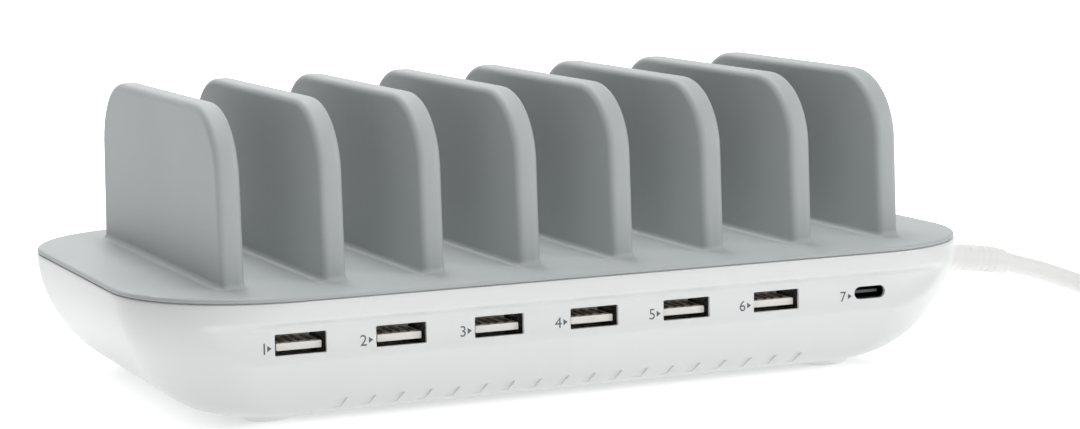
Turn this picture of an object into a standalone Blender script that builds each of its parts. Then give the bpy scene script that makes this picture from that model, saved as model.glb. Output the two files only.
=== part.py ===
"""Device charging station with seven slots, six USB-A ports, one USB-C port and a mains lead.

Metres, +Z up, +X along the front to the right and +Y to the back. The origin is on the surface that the
feet stand on, under the middle of the casing. The ports are in the front, at -Y.
"""

import math

import bmesh
import bpy
from mathutils import Matrix, Vector

MM = 0.001

# Values that many pieces share
FIT = 0.3 * MM  # gap between two pieces that touch
OVERRUN = 1.0 * MM  # how far a cutter passes the wall that it cuts
MERGE = 0.01 * MM  # distance at which loose caps are welded
SHARP_ANGLE = math.radians(35)  # steeper edges stay sharp
PITCH = 25.12 * MM  # from one slot or divider to the next
PORT_COUNT = 7
PORT_PITCH_SHARE = 0.9952  # of the pitch, from one USB-A port to the next
END_MARGIN = 24.6 * MM  # from the last divider's middle to the casing's end
DEPTH = 138.0 * MM
LENGTH = PORT_COUNT * PITCH + 2 * END_MARGIN

# Lower casing
FOOT_HEIGHT = 2.0 * MM  # from the standing surface up to the casing's flat underside
HULL_HEIGHT = 30.8 * MM
WALL = 2.2 * MM
END_TUCK = 24.8 * MM  # how far each end curves in, from the rim to the underside
FRONT_TUCK = 22.8 * MM  # the same for the front and the back
END_CURVE = 1.74  # exponents: 1 is straight, 2 is a quarter of an ellipse
FRONT_CURVE = 1.305
RIM_CORNER = 35.0 * MM
UNDERSIDE_CORNER = 14.0 * MM
CORNER_FULLNESS = 2.0
HULL_STEPS = 8
CORNER_STEPS = 8
PANEL_INSET = 7.42 * MM  # flat port panel, behind the rim's front edge
PORT_WALL = 0.8 * MM  # what a socket's pocket leaves of the wall
PORT_LIFT = 0.25 * MM  # from the panel's lower edge, inside, up to the sockets
CREASE_RISE = 4.0 * MM  # from the ports' middle line up to the panel's top edge
CREASE_HEIGHT = 2.0 * MM

# Vent slots over the casing's lower front edge
VENT_COUNT = 18
VENT_PITCH = 7.2 * MM
VENT_WIDTH = 2.0 * MM
VENT_LOW = 1.2 * MM  # above the underside
VENT_HIGH = 4.0 * MM

# Feet, and the posts over them that the case screws pass through
FOOT_END_INSET = 11.6 * MM  # from the underside's end edge to a foot's middle
FOOT_SIDE_INSET = 9.4 * MM  # the same from its front or back edge
BOSS_RADIUS = 7.0 * MM
PAD_RADIUS = 5.0 * MM
PAD_SHOWS = 0.3 * MM
PAD_THICK = 1.6 * MM
POST_RADIUS = 4.6 * MM
POST_DROP = 14.0 * MM  # from the rim down to where the two posts meet
POST_WEB = 3.0 * MM
CASE_SCREW_RADIUS = 1.4 * MM
CASE_HEAD_RADIUS = 2.6 * MM
CASE_HEAD_HEIGHT = 2.2 * MM
CASE_SCREW_GRIP = 9.0 * MM  # length in the cover's post

# Cover and its dividers
DECK_RISE = 1.0 * MM
DECK_WALL = 2.2 * MM
DECK_ROUNDING = 0.8 * MM
LIP_DEPTH = 2.5 * MM
LIP_WALL = 1.6 * MM
DIVIDER_HEIGHT = 42.4 * MM
DIVIDER_DEPTH = 104.5 * MM
DIVIDER_THICK = 6.0 * MM
DIVIDER_WALL = 1.8 * MM
DIVIDER_CORNER = 18.0 * MM
DIVIDER_ROUNDING = 1.8 * MM
FRONT_LEAN = 1.8 * MM
BACK_LEAN = 2.2 * MM
CORNER_POINTS = 6

# USB-A sockets
PORT_WIDTH = 12.7 * MM
PORT_HEIGHT = 5.1 * MM
SHELL_WIDTH = 13.4 * MM
SHELL_HEIGHT = 5.9 * MM
SHELL_DEPTH = 14.0 * MM
SHELL_WALL = 0.35 * MM
TONGUE_WIDTH = 11.1 * MM
TONGUE_THICK = 1.7 * MM
TONGUE_DROP = 0.73 * MM  # below the socket's middle
TONGUE_SETBACK = 0.5 * MM  # behind the shell's mouth
TONGUE_ROOT = 4.5 * MM

# USB-C socket
C_WIDTH = 8.94 * MM
C_HEIGHT = 3.2 * MM
C_WALL = 0.3 * MM
C_DEPTH = 7.4 * MM
C_SHIFT = 1.8 * MM  # further right than the USB-A row's own pitch
C_TONGUE_WIDTH = 6.7 * MM
C_TONGUE_THICK = 0.7 * MM
C_TONGUE_SETBACK = 1.2 * MM
C_ROOT = 3.0 * MM

# Board that carries the sockets
USB_BOARD_EDGE = 5.0 * MM  # beyond the last socket
USB_BOARD_SETBACK = 1.0 * MM  # behind the casing's front wall
BOARD_THICK = 1.6 * MM
NOTCH_GAP = 0.6 * MM
STANDOFF_RADIUS = 3.0 * MM
STANDOFF_REACH = 4.0 * MM  # from the board's back edge to its screws
BOARD_SCREW_RADIUS = 1.0 * MM
BOARD_SCREW_LENGTH = 5.0 * MM
BOARD_HEAD_RADIUS = 2.2 * MM
BOARD_HEAD_HEIGHT = 1.4 * MM

# Mains power board
POWER_BOARD_GAP = 1.4 * MM  # from the left posts
POWER_WIRE_ROOM = 9.4 * MM  # from the right posts
POWER_DEPTH_SHARE = 0.8  # of the distance between the front feet and the back feet
POWER_SHIFT_SHARE = 0.12  # of the same distance, towards the back
POWER_STANDOFF = 5.0 * MM  # above the casing's floor
POWER_SCREW_INSET = 4.5 * MM
SHEET_THICK = 0.5 * MM

# Parts on the power board: sizes as shares of the board's length and depth and of the room above it,
# radii as shares of its depth, and places as shares of its half length and half depth
CORE_SIZE_SHARES = (0.23, 0.43, 0.41)
CORE_LEG_SHARE = 0.15  # of the core's own width
CORE_MIDDLE_LEG_SHARE = 0.3
WINDING_HEIGHT_SHARE = 0.8
BULK_RADIUS_SHARE = 0.133
BULK_HEIGHT_SHARE = 0.82
OUTPUT_RADIUS_SHARE = 0.083
OUTPUT_HEIGHT_SHARE = 0.69
CAN_ROUNDING = 0.8 * MM
CHOKE_RADIUS_SHARE = 0.133
CHOKE_BORE_SHARE = 0.05
CHOKE_HEIGHT_SHARE = 0.37
X_CAPACITOR_SIZE_SHARES = (0.062, 0.3, 0.6)
FUSE_RADIUS_SHARE = 0.043
FUSE_LENGTH_SHARE = 0.123
BRIDGE_SIZE_SHARES = (0.115, 0.067, 0.5)
SINK_FOOT_SHARE = 0.133
SINK_HEIGHT_SHARE = 0.78
SINK_THICK = 2.0 * MM
PRIMARY_SINK_LENGTH_SHARE = 0.23
SECONDARY_SINK_LENGTH_SHARE = 0.2
TRANSFORMER_SHARES = (-0.18, 0.0)
BULK_SHARES = (0.22, -0.45)
OUTPUT_SHARES = ((-0.62, -0.5), (-0.62, -0.05))
CHOKE_SHARES = (0.55, -0.1)
X_CAPACITOR_SHARES = (0.8, 0.3)
FUSE_SHARES = (0.7, -0.72)
BRIDGE_SHARES = (0.58, 0.72)
PRIMARY_SINK_SHARES = (0.17, 0.72)
SECONDARY_SINK_SHARES = (-0.62, 0.72)
MAINS_PAD_SHARES = ((0.93, -0.58), (0.93, -0.32))
OUTPUT_PAD_SHARES = ((-0.9, -0.55), (-0.81, -0.55))

# Mains inlet in the right end
INLET_Y = -18.0 * MM
INLET_WIDTH = 18.0 * MM
INLET_HEIGHT = 11.5 * MM
INLET_DEPTH = 20.0 * MM
INLET_POCKET = 11.5 * MM
NOSE_WIDTH = 13.1 * MM
NOSE_HEIGHT = 8.1 * MM
PIN_SPACING = 8.6 * MM
PIN_RADIUS = 1.2 * MM
PIN_SHOWS = 9.0 * MM
PIN_ROOT = 4.0 * MM
WIRE_RADIUS = 0.9 * MM
WIRE_RISE = 7.0 * MM  # straight stretch of a wire over its pad
WIRE_REACH = 4.0 * MM  # straight stretch of a wire out of the inlet

# Connector of the mains lead: nose, grip and ribbed tail
GRIP_WIDTH = 15.6 * MM
GRIP_HEIGHT = 8.8 * MM
GRIP_LENGTH = 16.5 * MM
GRIP_ROUNDING = 1.5 * MM
TAIL_RADIUS = 3.7 * MM
TAIL_DROP = 2.9 * MM
TAIL_END_X = 145.0 * MM
NOSE_HOLE_GAP = 0.3 * MM

# Mains lead, 1.5 m from the connector to the wall plug
CORD_DIAMETER = 5.2 * MM
CORD_STEP = 11.0 * MM
TURN_PITCH = 5.3 * MM
COIL_COLUMNS = 4
COIL_LAYERS = 2
COIL_MIDDLE_RADIUS = 30.7 * MM
COIL_X = 215.0 * MM
TIE_THICK = 0.6 * MM
TIE_WIDTH = 5.0 * MM
LEAD_ROUTE = (
    (145.3, -18.0, 18.9),
    (150.0, -18.0, 17.5),
    (156.0, -17.9, 15.85),
    (162.0, -17.7, 13.8),
    (168.0, -17.5, 11.6),
    (174.0, -17.3, 9.4),
    (180.0, -17.2, 7.4),
    (186.0, -17.25, 5.75),
    (192.0, -17.4, 4.55),
    (194.4, -17.5, 4.2),
)
TAIL_ROUTE = (
    (253.3, -52.0, 14.5),
    (253.6, -58.9, 15.5),
    (252.3, -66.6, 16.6),
    (249.1, -73.7, 17.5),
    (243.8, -79.5, 18.2),
    (236.9, -83.2, 18.6),
    (229.4, -84.4, 18.7),
)

# Wall plug, lying on the coil
PLUG_WIDTH = 22.0 * MM
PLUG_THICK = 14.0 * MM
PLUG_LENGTH = 26.0 * MM
PLUG_ROUNDING = 2.0 * MM
PLUG_NECK_LENGTH = 14.0 * MM
PLUG_NECK_RADIUS = 4.6 * MM
PLUG_NECK_END_RADIUS = 3.3 * MM
PLUG_NECK_X = 229.0 * MM
PLUG_Y = -84.4 * MM
BLADE_SPACING = 12.7 * MM
BLADE_THICK = 1.5 * MM
BLADE_WIDTH = 6.35 * MM
BLADE_LENGTH = 17.0 * MM
BLADE_ROOT = 4.0 * MM

# Levels and planes that follow from the sizes above. The panel's foot is the share of the way down at
# which the front skin has curved in as far as the port panel.
PANEL_FOOT = (1 - (1 - PANEL_INSET / FRONT_TUCK) ** FRONT_CURVE) ** (1 / FRONT_CURVE)
UNDERSIDE_Z = FOOT_HEIGHT
FLOOR_Z = UNDERSIDE_Z + WALL
RIM_Z = UNDERSIDE_Z + HULL_HEIGHT
SEAM_Z = RIM_Z + FIT
DECK_Z = SEAM_Z + DECK_RISE
PORT_Z = RIM_Z - PANEL_FOOT * (HULL_HEIGHT - WALL) + PORT_LIFT + SHELL_HEIGHT / 2
PANEL_Y = PANEL_INSET - DEPTH / 2
CREASE_Z = PORT_Z + CREASE_RISE
POST_Z = RIM_Z - POST_DROP
FOOT_X = LENGTH / 2 - END_TUCK - FOOT_END_INSET
FOOT_Y = DEPTH / 2 - FRONT_TUCK - FOOT_SIDE_INSET
FOOT_SPOTS = [(x, y) for x in (-FOOT_X, FOOT_X) for y in (-FOOT_Y, FOOT_Y)]
PORT_XS = [(i - (PORT_COUNT - 1) / 2) * PITCH * PORT_PITCH_SHARE for i in range(PORT_COUNT)]
A_XS = PORT_XS[:-1]
C_X = PORT_XS[-1] + C_SHIFT
DIVIDER_XS = [(i - PORT_COUNT / 2) * PITCH for i in range(PORT_COUNT + 1)]
SHELL_Y = PANEL_Y + PORT_WALL + FIT  # the sockets' mouths
USB_BOARD_TOP = PORT_Z - SHELL_HEIGHT / 2 - FIT
USB_BOARD_BACK = -FOOT_Y
USB_SCREW_SPOTS = [(x, USB_BOARD_BACK - STANDOFF_REACH) for x in (A_XS[1], A_XS[5])]
POWER_BOARD_LENGTH = 2 * (FOOT_X - POST_RADIUS) - POWER_BOARD_GAP - POWER_WIRE_ROOM
POWER_BOARD_X = (POWER_BOARD_GAP - POWER_WIRE_ROOM) / 2
POWER_BOARD_DEPTH = POWER_DEPTH_SHARE * 2 * FOOT_Y
POWER_BOARD_Y = POWER_SHIFT_SHARE * 2 * FOOT_Y
POWER_BOARD_Z = FLOOR_Z + POWER_STANDOFF + FIT
POWER_TOP = POWER_BOARD_Z + BOARD_THICK
HEADROOM = DECK_Z - DECK_WALL - POWER_TOP - FIT  # over what stands on the power board
POWER_SCREW_SPOTS = [
    (POWER_BOARD_X + sx * (POWER_BOARD_LENGTH / 2 - POWER_SCREW_INSET),
     POWER_BOARD_Y + sy * (POWER_BOARD_DEPTH / 2 - POWER_SCREW_INSET))
    for sx in (-1, 1) for sy in (-1, 1)
]
INLET_Z = PORT_Z
COIL_HALF = (COIL_COLUMNS - 1) / 2 * TURN_PITCH + CORD_DIAMETER / 2
COIL_OUTER = COIL_MIDDLE_RADIUS + COIL_HALF
COIL_INNER = COIL_MIDDLE_RADIUS - COIL_HALF
COIL_Y = INLET_Y - COIL_OUTER + CORD_DIAMETER / 2
COIL_Z = TIE_THICK + FIT
COIL_TOP = COIL_Z + (COIL_LAYERS - 1) * TURN_PITCH + CORD_DIAMETER
PLUG_Z = COIL_TOP + FIT + PLUG_THICK / 2


# Scene and finishes
for old in list(bpy.data.objects):
    bpy.data.objects.remove(old, do_unlink=True)

station = bpy.data.collections.new("charging_station")
cutters = bpy.data.collections.new("cutters")
bpy.context.scene.collection.children.link(station)
bpy.context.scene.collection.children.link(cutters)
origin = bpy.data.objects.new("station_origin", None)
station.objects.link(origin)


def finish(name, colour, roughness, metallic=0.0):
    material = bpy.data.materials.new(name)
    material.use_nodes = True
    shader = material.node_tree.nodes["Principled BSDF"]
    shader.inputs["Base Color"].default_value = (*colour, 1.0)
    shader.inputs["Roughness"].default_value = roughness
    shader.inputs["Metallic"].default_value = metallic
    return material


GREY_PLASTIC = finish("grey_plastic", (0.46, 0.49, 0.50), 0.55)
WHITE_PLASTIC = finish("white_plastic", (0.80, 0.80, 0.79), 0.35)
WHITE_PVC = finish("white_pvc", (0.78, 0.78, 0.77), 0.45)
RUBBER = finish("foot_rubber", (0.62, 0.62, 0.61), 0.8)
STEEL = finish("plated_steel", (0.55, 0.55, 0.55), 0.3, 1.0)
BRASS = finish("plated_brass", (0.72, 0.66, 0.50), 0.3, 1.0)
ALUMINIUM = finish("aluminium", (0.75, 0.76, 0.77), 0.35, 1.0)
BOARD_GREEN = finish("circuit_board", (0.03, 0.14, 0.06), 0.45)
FERRITE = finish("ferrite", (0.05, 0.05, 0.055), 0.6)
YELLOW_TAPE = finish("winding_tape", (0.80, 0.58, 0.10), 0.4)
COPPER_WINDING = finish("enamelled_copper", (0.48, 0.16, 0.06), 0.35)
CAN_SLEEVE = finish("capacitor_sleeve", (0.03, 0.04, 0.07), 0.35)
YELLOW_CASE = finish("film_capacitor", (0.75, 0.60, 0.08), 0.4)
BLACK_PLASTIC = finish("black_plastic", (0.03, 0.03, 0.03), 0.4)
CLEAR_SHEET = finish("insulating_film", (0.60, 0.62, 0.60), 0.3)
FUSE_BODY = finish("fuse_ceramic", (0.72, 0.70, 0.64), 0.5)
WIRE_BROWN = finish("wire_brown", (0.17, 0.07, 0.03), 0.45)
WIRE_RED = finish("wire_red", (0.45, 0.03, 0.03), 0.45)


# Modelling helpers
def mesh_of(bm, name):
    mesh = bpy.data.meshes.new(name)
    bm.to_mesh(mesh)
    bm.free()
    return mesh


def piece(name, mesh, material, at=(0, 0, 0), turn=(0, 0, 0)):
    """One sub-part of the station, at its place."""
    made = bpy.data.objects.new(name, mesh)
    station.objects.link(made)
    made.parent = origin
    made.location = at
    made.rotation_euler = turn
    if not mesh.materials:
        mesh.materials.append(material)
    if isinstance(mesh, bpy.types.Mesh):
        mesh.shade_smooth()
        mesh.set_sharp_from_angle(angle=SHARP_ANGLE)
    return made


def tool(name, mesh):
    """A shape that only cuts or joins another one."""
    made = bpy.data.objects.new(name, mesh)
    cutters.objects.link(made)
    made.hide_render = True
    made.display_type = "WIRE"
    return made


def combine(target, operation, name, mesh):
    step = target.modifiers.new(name, "BOOLEAN")
    step.operation = operation
    step.object = tool(name, mesh)


def cut(target, name, mesh):
    combine(target, "DIFFERENCE", name, mesh)


def join(target, name, mesh):
    combine(target, "UNION", name, mesh)


def boxes(name, spans):
    """One mesh of boxes, each from its lowest to its highest corner."""
    bm = bmesh.new()
    for low, high in spans:
        low, high = Vector(low), Vector(high)
        size = high - low
        place = Matrix.Translation((low + high) / 2) @ Matrix.Diagonal((*size, 1))
        bmesh.ops.create_cube(bm, size=1, matrix=place)
    return mesh_of(bm, name)


def centred_box(name, size):
    """A box that stands on its own z = 0."""
    x, y, z = size
    return boxes(name, [((-x / 2, -y / 2, 0), (x / 2, y / 2, z))])


def cylinders(name, spots, radius, low, high, sides=24):
    """One mesh of upright cylinders at the given places."""
    bm = bmesh.new()
    for x, y in spots:
        bmesh.ops.create_cone(
            bm, cap_ends=True, segments=sides, radius1=radius, radius2=radius,
            depth=high - low, matrix=Matrix.Translation((x, y, (low + high) / 2)))
    return mesh_of(bm, name)


def evaluated(name, data):
    """The welded mesh that a curve makes."""
    holder = bpy.data.objects.new(name, data)
    cutters.objects.link(holder)
    graph = bpy.context.evaluated_depsgraph_get()
    mesh = bpy.data.meshes.new_from_object(holder.evaluated_get(graph))
    bpy.data.objects.remove(holder)
    bm = bmesh.new()
    bm.from_mesh(mesh)
    bmesh.ops.remove_doubles(bm, verts=bm.verts, dist=MERGE)
    bmesh.ops.recalc_face_normals(bm, faces=bm.faces)
    bm.to_mesh(mesh)
    bm.free()
    return mesh


def slab(name, loops, thickness, rounding=0):
    """Flat outlines in their own XY plane, thick along Z; an outline inside another is a hole."""
    data = bpy.data.curves.new(name, "CURVE")
    data.dimensions = "2D"
    data.fill_mode = "BOTH"
    data.extrude = thickness / 2 - rounding
    data.bevel_depth = rounding
    data.bevel_resolution = 1
    data.offset = -rounding
    for loop in loops:
        spline = data.splines.new("POLY")
        spline.points.add(len(loop) - 1)
        spline.use_cyclic_u = True
        for point, (x, y) in zip(spline.points, loop):
            point.co = (x, y, 0, 1)
    return evaluated(name, data)


# Turns a slab's own axes so that its outline lies in the YZ plane, or in the ZX plane
ACROSS_X = Matrix(((0, 0, 1, 0), (1, 0, 0, 0), (0, 1, 0, 0), (0, 0, 0, 1)))
ACROSS_Y = Matrix(((1, 0, 0, 0), (0, 0, -1, 0), (0, 1, 0, 0), (0, 0, 0, 1)))


def placed(mesh, turn, at=(0, 0, 0)):
    mesh.transform(Matrix.Translation(at) @ turn)
    return mesh


def merged(name, meshes):
    """Meshes that don't touch, made one."""
    bm = bmesh.new()
    for mesh in meshes:
        bm.from_mesh(mesh)
    return mesh_of(bm, name)


def turned_piece(name, profile, material, at, turn=(0, 0, 0), steps=24):
    """A sub-part turned about its Z, from (radius, height) points that run down its outer side."""
    mesh = bpy.data.meshes.new(name)
    points = [(radius, 0, height) for radius, height in profile]
    mesh.from_pydata(points, [(i, i + 1) for i in range(len(points) - 1)], [])
    made = piece(name, mesh, material, at, turn)
    screw = made.modifiers.new("turned", "SCREW")
    screw.steps = steps
    screw.render_steps = steps
    screw.use_merge_vertices = True
    screw.merge_threshold = MERGE


def ring_profile(inner, outer, height):
    return [(inner, 0), (inner, height), (outer, height), (outer, 0), (inner, 0)]


def smooth_route(points, step):
    """Points about one step apart on a smooth curve through the given ones."""
    points = [Vector(p) for p in points]
    ends = [2 * points[0] - points[1], *points, 2 * points[-1] - points[-2]]
    route = [points[0]]
    for a, b, c, d in zip(ends, ends[1:], ends[2:], ends[3:]):
        count = max(1, round((c - b).length / step))
        for i in range(1, count + 1):
            t = i / count
            curve = 2 * b + (c - a) * t
            curve += (2 * a - 5 * b + 4 * c - d) * t**2
            curve += (3 * b - a - 3 * c + d) * t**3
            route.append(curve / 2)
    return route


def tube(name, points, radius, resolution=2):
    data = bpy.data.curves.new(name, "CURVE")
    data.dimensions = "3D"
    data.bevel_depth = radius
    data.bevel_resolution = resolution
    data.use_fill_caps = True
    spline = data.splines.new("POLY")
    spline.points.add(len(points) - 1)
    for point, place in zip(spline.points, points):
        point.co = (*place, 1)
    return data


def circle(x, y, radius, sides=16):
    angles = [2 * math.pi * i / sides for i in range(sides)]
    return [(x + radius * math.cos(a), y + radius * math.sin(a)) for a in angles]


def capsule(width, height, sides=12):
    """Outline of a slot with round ends, its width along X."""
    radius = height / 2
    middle = width / 2 - radius
    points = []
    for side in (1, -1):
        for i in range(sides + 1):
            a = math.pi * (i / sides - 0.5)
            points.append((side * (middle + radius * math.cos(a)), side * radius * math.sin(a)))
    return points


def rectangle(width, height):
    x, y = width / 2, height / 2
    return [(-x, -y), (x, -y), (x, y), (-x, y)]


# The casing's form: its outline at each level
def share_down(z):
    return (RIM_Z - z) / HULL_HEIGHT


def tuck(share, amount, curve):
    """How far the skin has curved in at a share of the way from the rim to the underside."""
    return amount * (1 - (1 - share**curve) ** (1 / curve))


def outline(half_x, half_y, corner, z):
    points = []
    for side_x, side_y in ((1, -1), (1, 1), (-1, 1), (-1, -1)):
        for i in range(CORNER_STEPS + 1):
            a = math.pi / 2 * i / CORNER_STEPS
            if side_x * side_y > 0:
                a = math.pi / 2 - a
            x = half_x - corner + corner * math.sin(a) ** (2 / CORNER_FULLNESS)
            y = half_y - corner + corner * abs(math.cos(a)) ** (2 / CORNER_FULLNESS)
            points.append((side_x * x, side_y * y, z))
    return points


def hull_ring(share, wall):
    half_x = LENGTH / 2 - tuck(share, END_TUCK, END_CURVE) - wall
    half_y = DEPTH / 2 - tuck(share, FRONT_TUCK, FRONT_CURVE) - wall
    corner = RIM_CORNER + (UNDERSIDE_CORNER - RIM_CORNER) * share - wall
    ring = outline(half_x, half_y, corner, RIM_Z - share * (HULL_HEIGHT - wall))
    if share < share_down(CREASE_Z):
        return ring
    return [(x, max(y, PANEL_Y + wall), z) for x, y, z in ring]


def hull_front(z, wall=0):
    """Y of the casing's front skin, or of its inner side, at a height."""
    share = (RIM_Z - z) / (HULL_HEIGHT - wall)
    return max(tuck(share, FRONT_TUCK, FRONT_CURVE) - DEPTH / 2, PANEL_Y) + wall


def hull_end(z):
    """X of the casing's right end at a height."""
    return LENGTH / 2 - tuck(share_down(z), END_TUCK, END_CURVE)


def loft(name, rings):
    """A closed skin through rings of points, with a cap on the first and the last."""
    bm = bmesh.new()
    rows = [[bm.verts.new(point) for point in ring] for ring in rings]
    for low, high in zip(rows, rows[1:]):
        for i in range(len(low)):
            j = (i + 1) % len(low)
            bm.faces.new((low[i], low[j], high[j], high[i]))
    bm.faces.new(list(reversed(rows[0])))
    bm.faces.new(rows[-1])
    bmesh.ops.recalc_face_normals(bm, faces=bm.faces)
    bmesh.ops.triangulate(bm, faces=bm.faces)
    return mesh_of(bm, name)


def hull_mesh():
    top, bottom = share_down(CREASE_Z + CREASE_HEIGHT), share_down(CREASE_Z)
    curved = [
        PANEL_FOOT + (1 - PANEL_FOOT) * math.sin(math.pi / 2 * i / HULL_STEPS)
        for i in range(HULL_STEPS + 1)
    ]
    shares = [0, top / 2, top, bottom, *curved]
    outer = [hull_ring(share, 0) for share in reversed(shares)]
    inner = [hull_ring(share, WALL) for share in shares]
    return loft("base_casing", outer + inner)


# Lower casing
INLET_FACE_X = hull_end(INLET_Z - INLET_HEIGHT / 2) - FIT


def vent_cutters():
    """Boxes along the chord of the lower front edge, one for each slot."""
    low, high = UNDERSIDE_Z + VENT_LOW, UNDERSIDE_Z + VENT_HIGH
    start = Vector((0, hull_front(low), low))
    chord = Vector((0, hull_front(high), high)) - start
    lean = math.atan2(chord.y, chord.z)
    bm = bmesh.new()
    for i in range(VENT_COUNT):
        x = (i - (VENT_COUNT - 1) / 2) * VENT_PITCH
        size = Matrix.Diagonal((VENT_WIDTH, 2 * (WALL + OVERRUN), chord.length, 1))
        turn = Matrix.Rotation(-lean, 4, "X")
        place = Matrix.Translation(start + chord / 2 + Vector((x, 0, 0)))
        bmesh.ops.create_cube(bm, size=1, matrix=place @ turn @ size)
    return mesh_of(bm, "vents")


def make_base_casing():
    base = piece("base_casing", hull_mesh(), WHITE_PLASTIC)
    inside = UNDERSIDE_Z + WALL / 2
    join(base, "posts", cylinders("posts", FOOT_SPOTS, POST_RADIUS, inside, POST_Z))
    boss_top = inside + WALL / 4
    join(base, "foot_bosses", cylinders("foot_bosses", FOOT_SPOTS, BOSS_RADIUS, PAD_SHOWS, boss_top, 32))
    usb_seat = USB_BOARD_TOP - BOARD_THICK - FIT
    power_seat = FLOOR_Z + POWER_STANDOFF
    screw_gap = BOARD_SCREW_RADIUS + FIT
    for board, spots, seat in (("usb", USB_SCREW_SPOTS, usb_seat), ("power", POWER_SCREW_SPOTS, power_seat)):
        standoffs, holes = f"{board}_standoffs", f"{board}_screw_holes"
        join(base, standoffs, cylinders(standoffs, spots, STANDOFF_RADIUS, inside, seat))
        cut(base, holes, cylinders(holes, spots, screw_gap, seat - BOARD_SCREW_LENGTH, seat + OVERRUN, 12))
    recess = PAD_THICK + FIT
    cut(base, "pad_recesses", cylinders("pad_recesses", FOOT_SPOTS, PAD_RADIUS + FIT, -OVERRUN, recess))
    head_seat = POST_Z - POST_WEB
    cut(base, "counterbores",
        cylinders("counterbores", FOOT_SPOTS, CASE_HEAD_RADIUS + FIT, recess - OVERRUN / 2, head_seat, 16))
    cut(base, "case_screw_holes",
        cylinders("case_screw_holes", FOOT_SPOTS, CASE_SCREW_RADIUS + FIT,
                  head_seat - OVERRUN, POST_Z + OVERRUN, 12))
    front, back = PANEL_Y - OVERRUN, PANEL_Y + WALL + OVERRUN
    pocket_front = PANEL_Y + PORT_WALL
    half, low, high = PORT_WIDTH / 2, PORT_Z - PORT_HEIGHT / 2, PORT_Z + PORT_HEIGHT / 2
    mouths = [((x - half, front, low), (x + half, back, high)) for x in A_XS]
    cut(base, "usb_a_openings", boxes("usb_a_openings", mouths))
    half, rise = SHELL_WIDTH / 2 + FIT, SHELL_HEIGHT / 2 + FIT
    pockets = [((x - half, pocket_front, PORT_Z - rise), (x + half, back, PORT_Z + rise)) for x in A_XS]
    cut(base, "usb_a_pockets", boxes("usb_a_pockets", pockets))
    c_mouth = slab("usb_c_opening", [capsule(C_WIDTH, C_HEIGHT)], back - front)
    cut(base, "usb_c_opening", placed(c_mouth, ACROSS_Y, (C_X, (front + back) / 2, PORT_Z)))
    c_pocket = slab("usb_c_pocket", [capsule(C_WIDTH + 2 * FIT, C_HEIGHT + 2 * FIT)], back - pocket_front)
    cut(base, "usb_c_pocket", placed(c_pocket, ACROSS_Y, (C_X, (pocket_front + back) / 2, PORT_Z)))
    half_y, half_z = INLET_WIDTH / 2 + FIT, INLET_HEIGHT / 2 + FIT
    cut(base, "inlet_opening", boxes("inlet_opening", [
        ((INLET_FACE_X - WALL - INLET_DEPTH / 2, INLET_Y - half_y, INLET_Z - half_z),
         (LENGTH / 2 + OVERRUN, INLET_Y + half_y, INLET_Z + half_z))
    ]))
    cut(base, "vents", vent_cutters())


# Cover with its eight dividers
def deck_mesh():
    half_x, half_y = LENGTH / 2, DEPTH / 2

    def ring(inset, z):
        return outline(half_x - inset, half_y - inset, RIM_CORNER - inset, z)

    shoulder = DECK_Z - DECK_ROUNDING
    middle = DECK_ROUNDING * math.sqrt(0.5)
    lip_foot = SEAM_Z - LIP_DEPTH
    lip = half_y + hull_front(lip_foot, WALL) + FIT
    inside = lip + LIP_WALL
    rings = [
        ring(DECK_ROUNDING, DECK_Z),
        ring(DECK_ROUNDING - middle, shoulder + middle),
        ring(0, shoulder),
        ring(0, SEAM_Z),
        ring(lip, SEAM_Z),
        ring(lip, lip_foot),
        ring(inside, lip_foot),
        ring(inside, DECK_Z - DECK_WALL),
    ]
    return loft("deck_cover", list(reversed(rings)))


def divider_outline(inset, foot):
    """Side view of a divider, as (y, z) points, or of the hollow inside it."""
    half = DIVIDER_DEPTH / 2 - inset
    top = DECK_Z + DIVIDER_HEIGHT - inset
    front_slope = FRONT_LEAN / DIVIDER_HEIGHT
    back_slope = BACK_LEAN / DIVIDER_HEIGHT
    corner = DIVIDER_CORNER - inset
    points = []
    for side, slope in ((-1, front_slope), (1, back_slope)):
        edge = half - slope * (top - corner - DECK_Z)
        arc = []
        for i in range(CORNER_POINTS + 1):
            a = math.pi / 2 * i / CORNER_POINTS
            y = edge - corner + corner * math.cos(a) - slope * corner * math.sin(a) * (1 - math.cos(a))
            arc.append((side * y, top - corner + corner * math.sin(a)))
        run = [(side * (half + slope * (DECK_Z - foot)), foot), *arc]
        points += run if side < 0 else list(reversed(run))
    return list(reversed(points))


def in_row(name, side_view, thickness, rounding=0):
    """One mesh of slabs with the same side view, one at each divider's place."""
    return merged(name, [
        placed(slab(name, [side_view], thickness, rounding), ACROSS_X, (x, 0, 0)) for x in DIVIDER_XS
    ])


def make_deck_cover():
    deck = piece("deck_cover", deck_mesh(), GREY_PLASTIC)
    plate_middle = DECK_Z - DECK_WALL / 2
    rooted = divider_outline(0, plate_middle)
    join(deck, "dividers", in_row("dividers", rooted, DIVIDER_THICK, DIVIDER_ROUNDING))
    post_foot = POST_Z + FIT
    join(deck, "deck_posts", cylinders("deck_posts", FOOT_SPOTS, POST_RADIUS, post_foot, plate_middle))
    hollow = divider_outline(DIVIDER_WALL, DECK_Z - DECK_WALL - OVERRUN)
    cut(deck, "hollows", in_row("hollows", hollow, DIVIDER_THICK - 2 * DIVIDER_WALL))
    pilot = POST_Z + CASE_SCREW_GRIP + OVERRUN
    cut(deck, "pilot_holes",
        cylinders("pilot_holes", FOOT_SPOTS, CASE_SCREW_RADIUS + FIT, post_foot - OVERRUN, pilot, 12))


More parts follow.
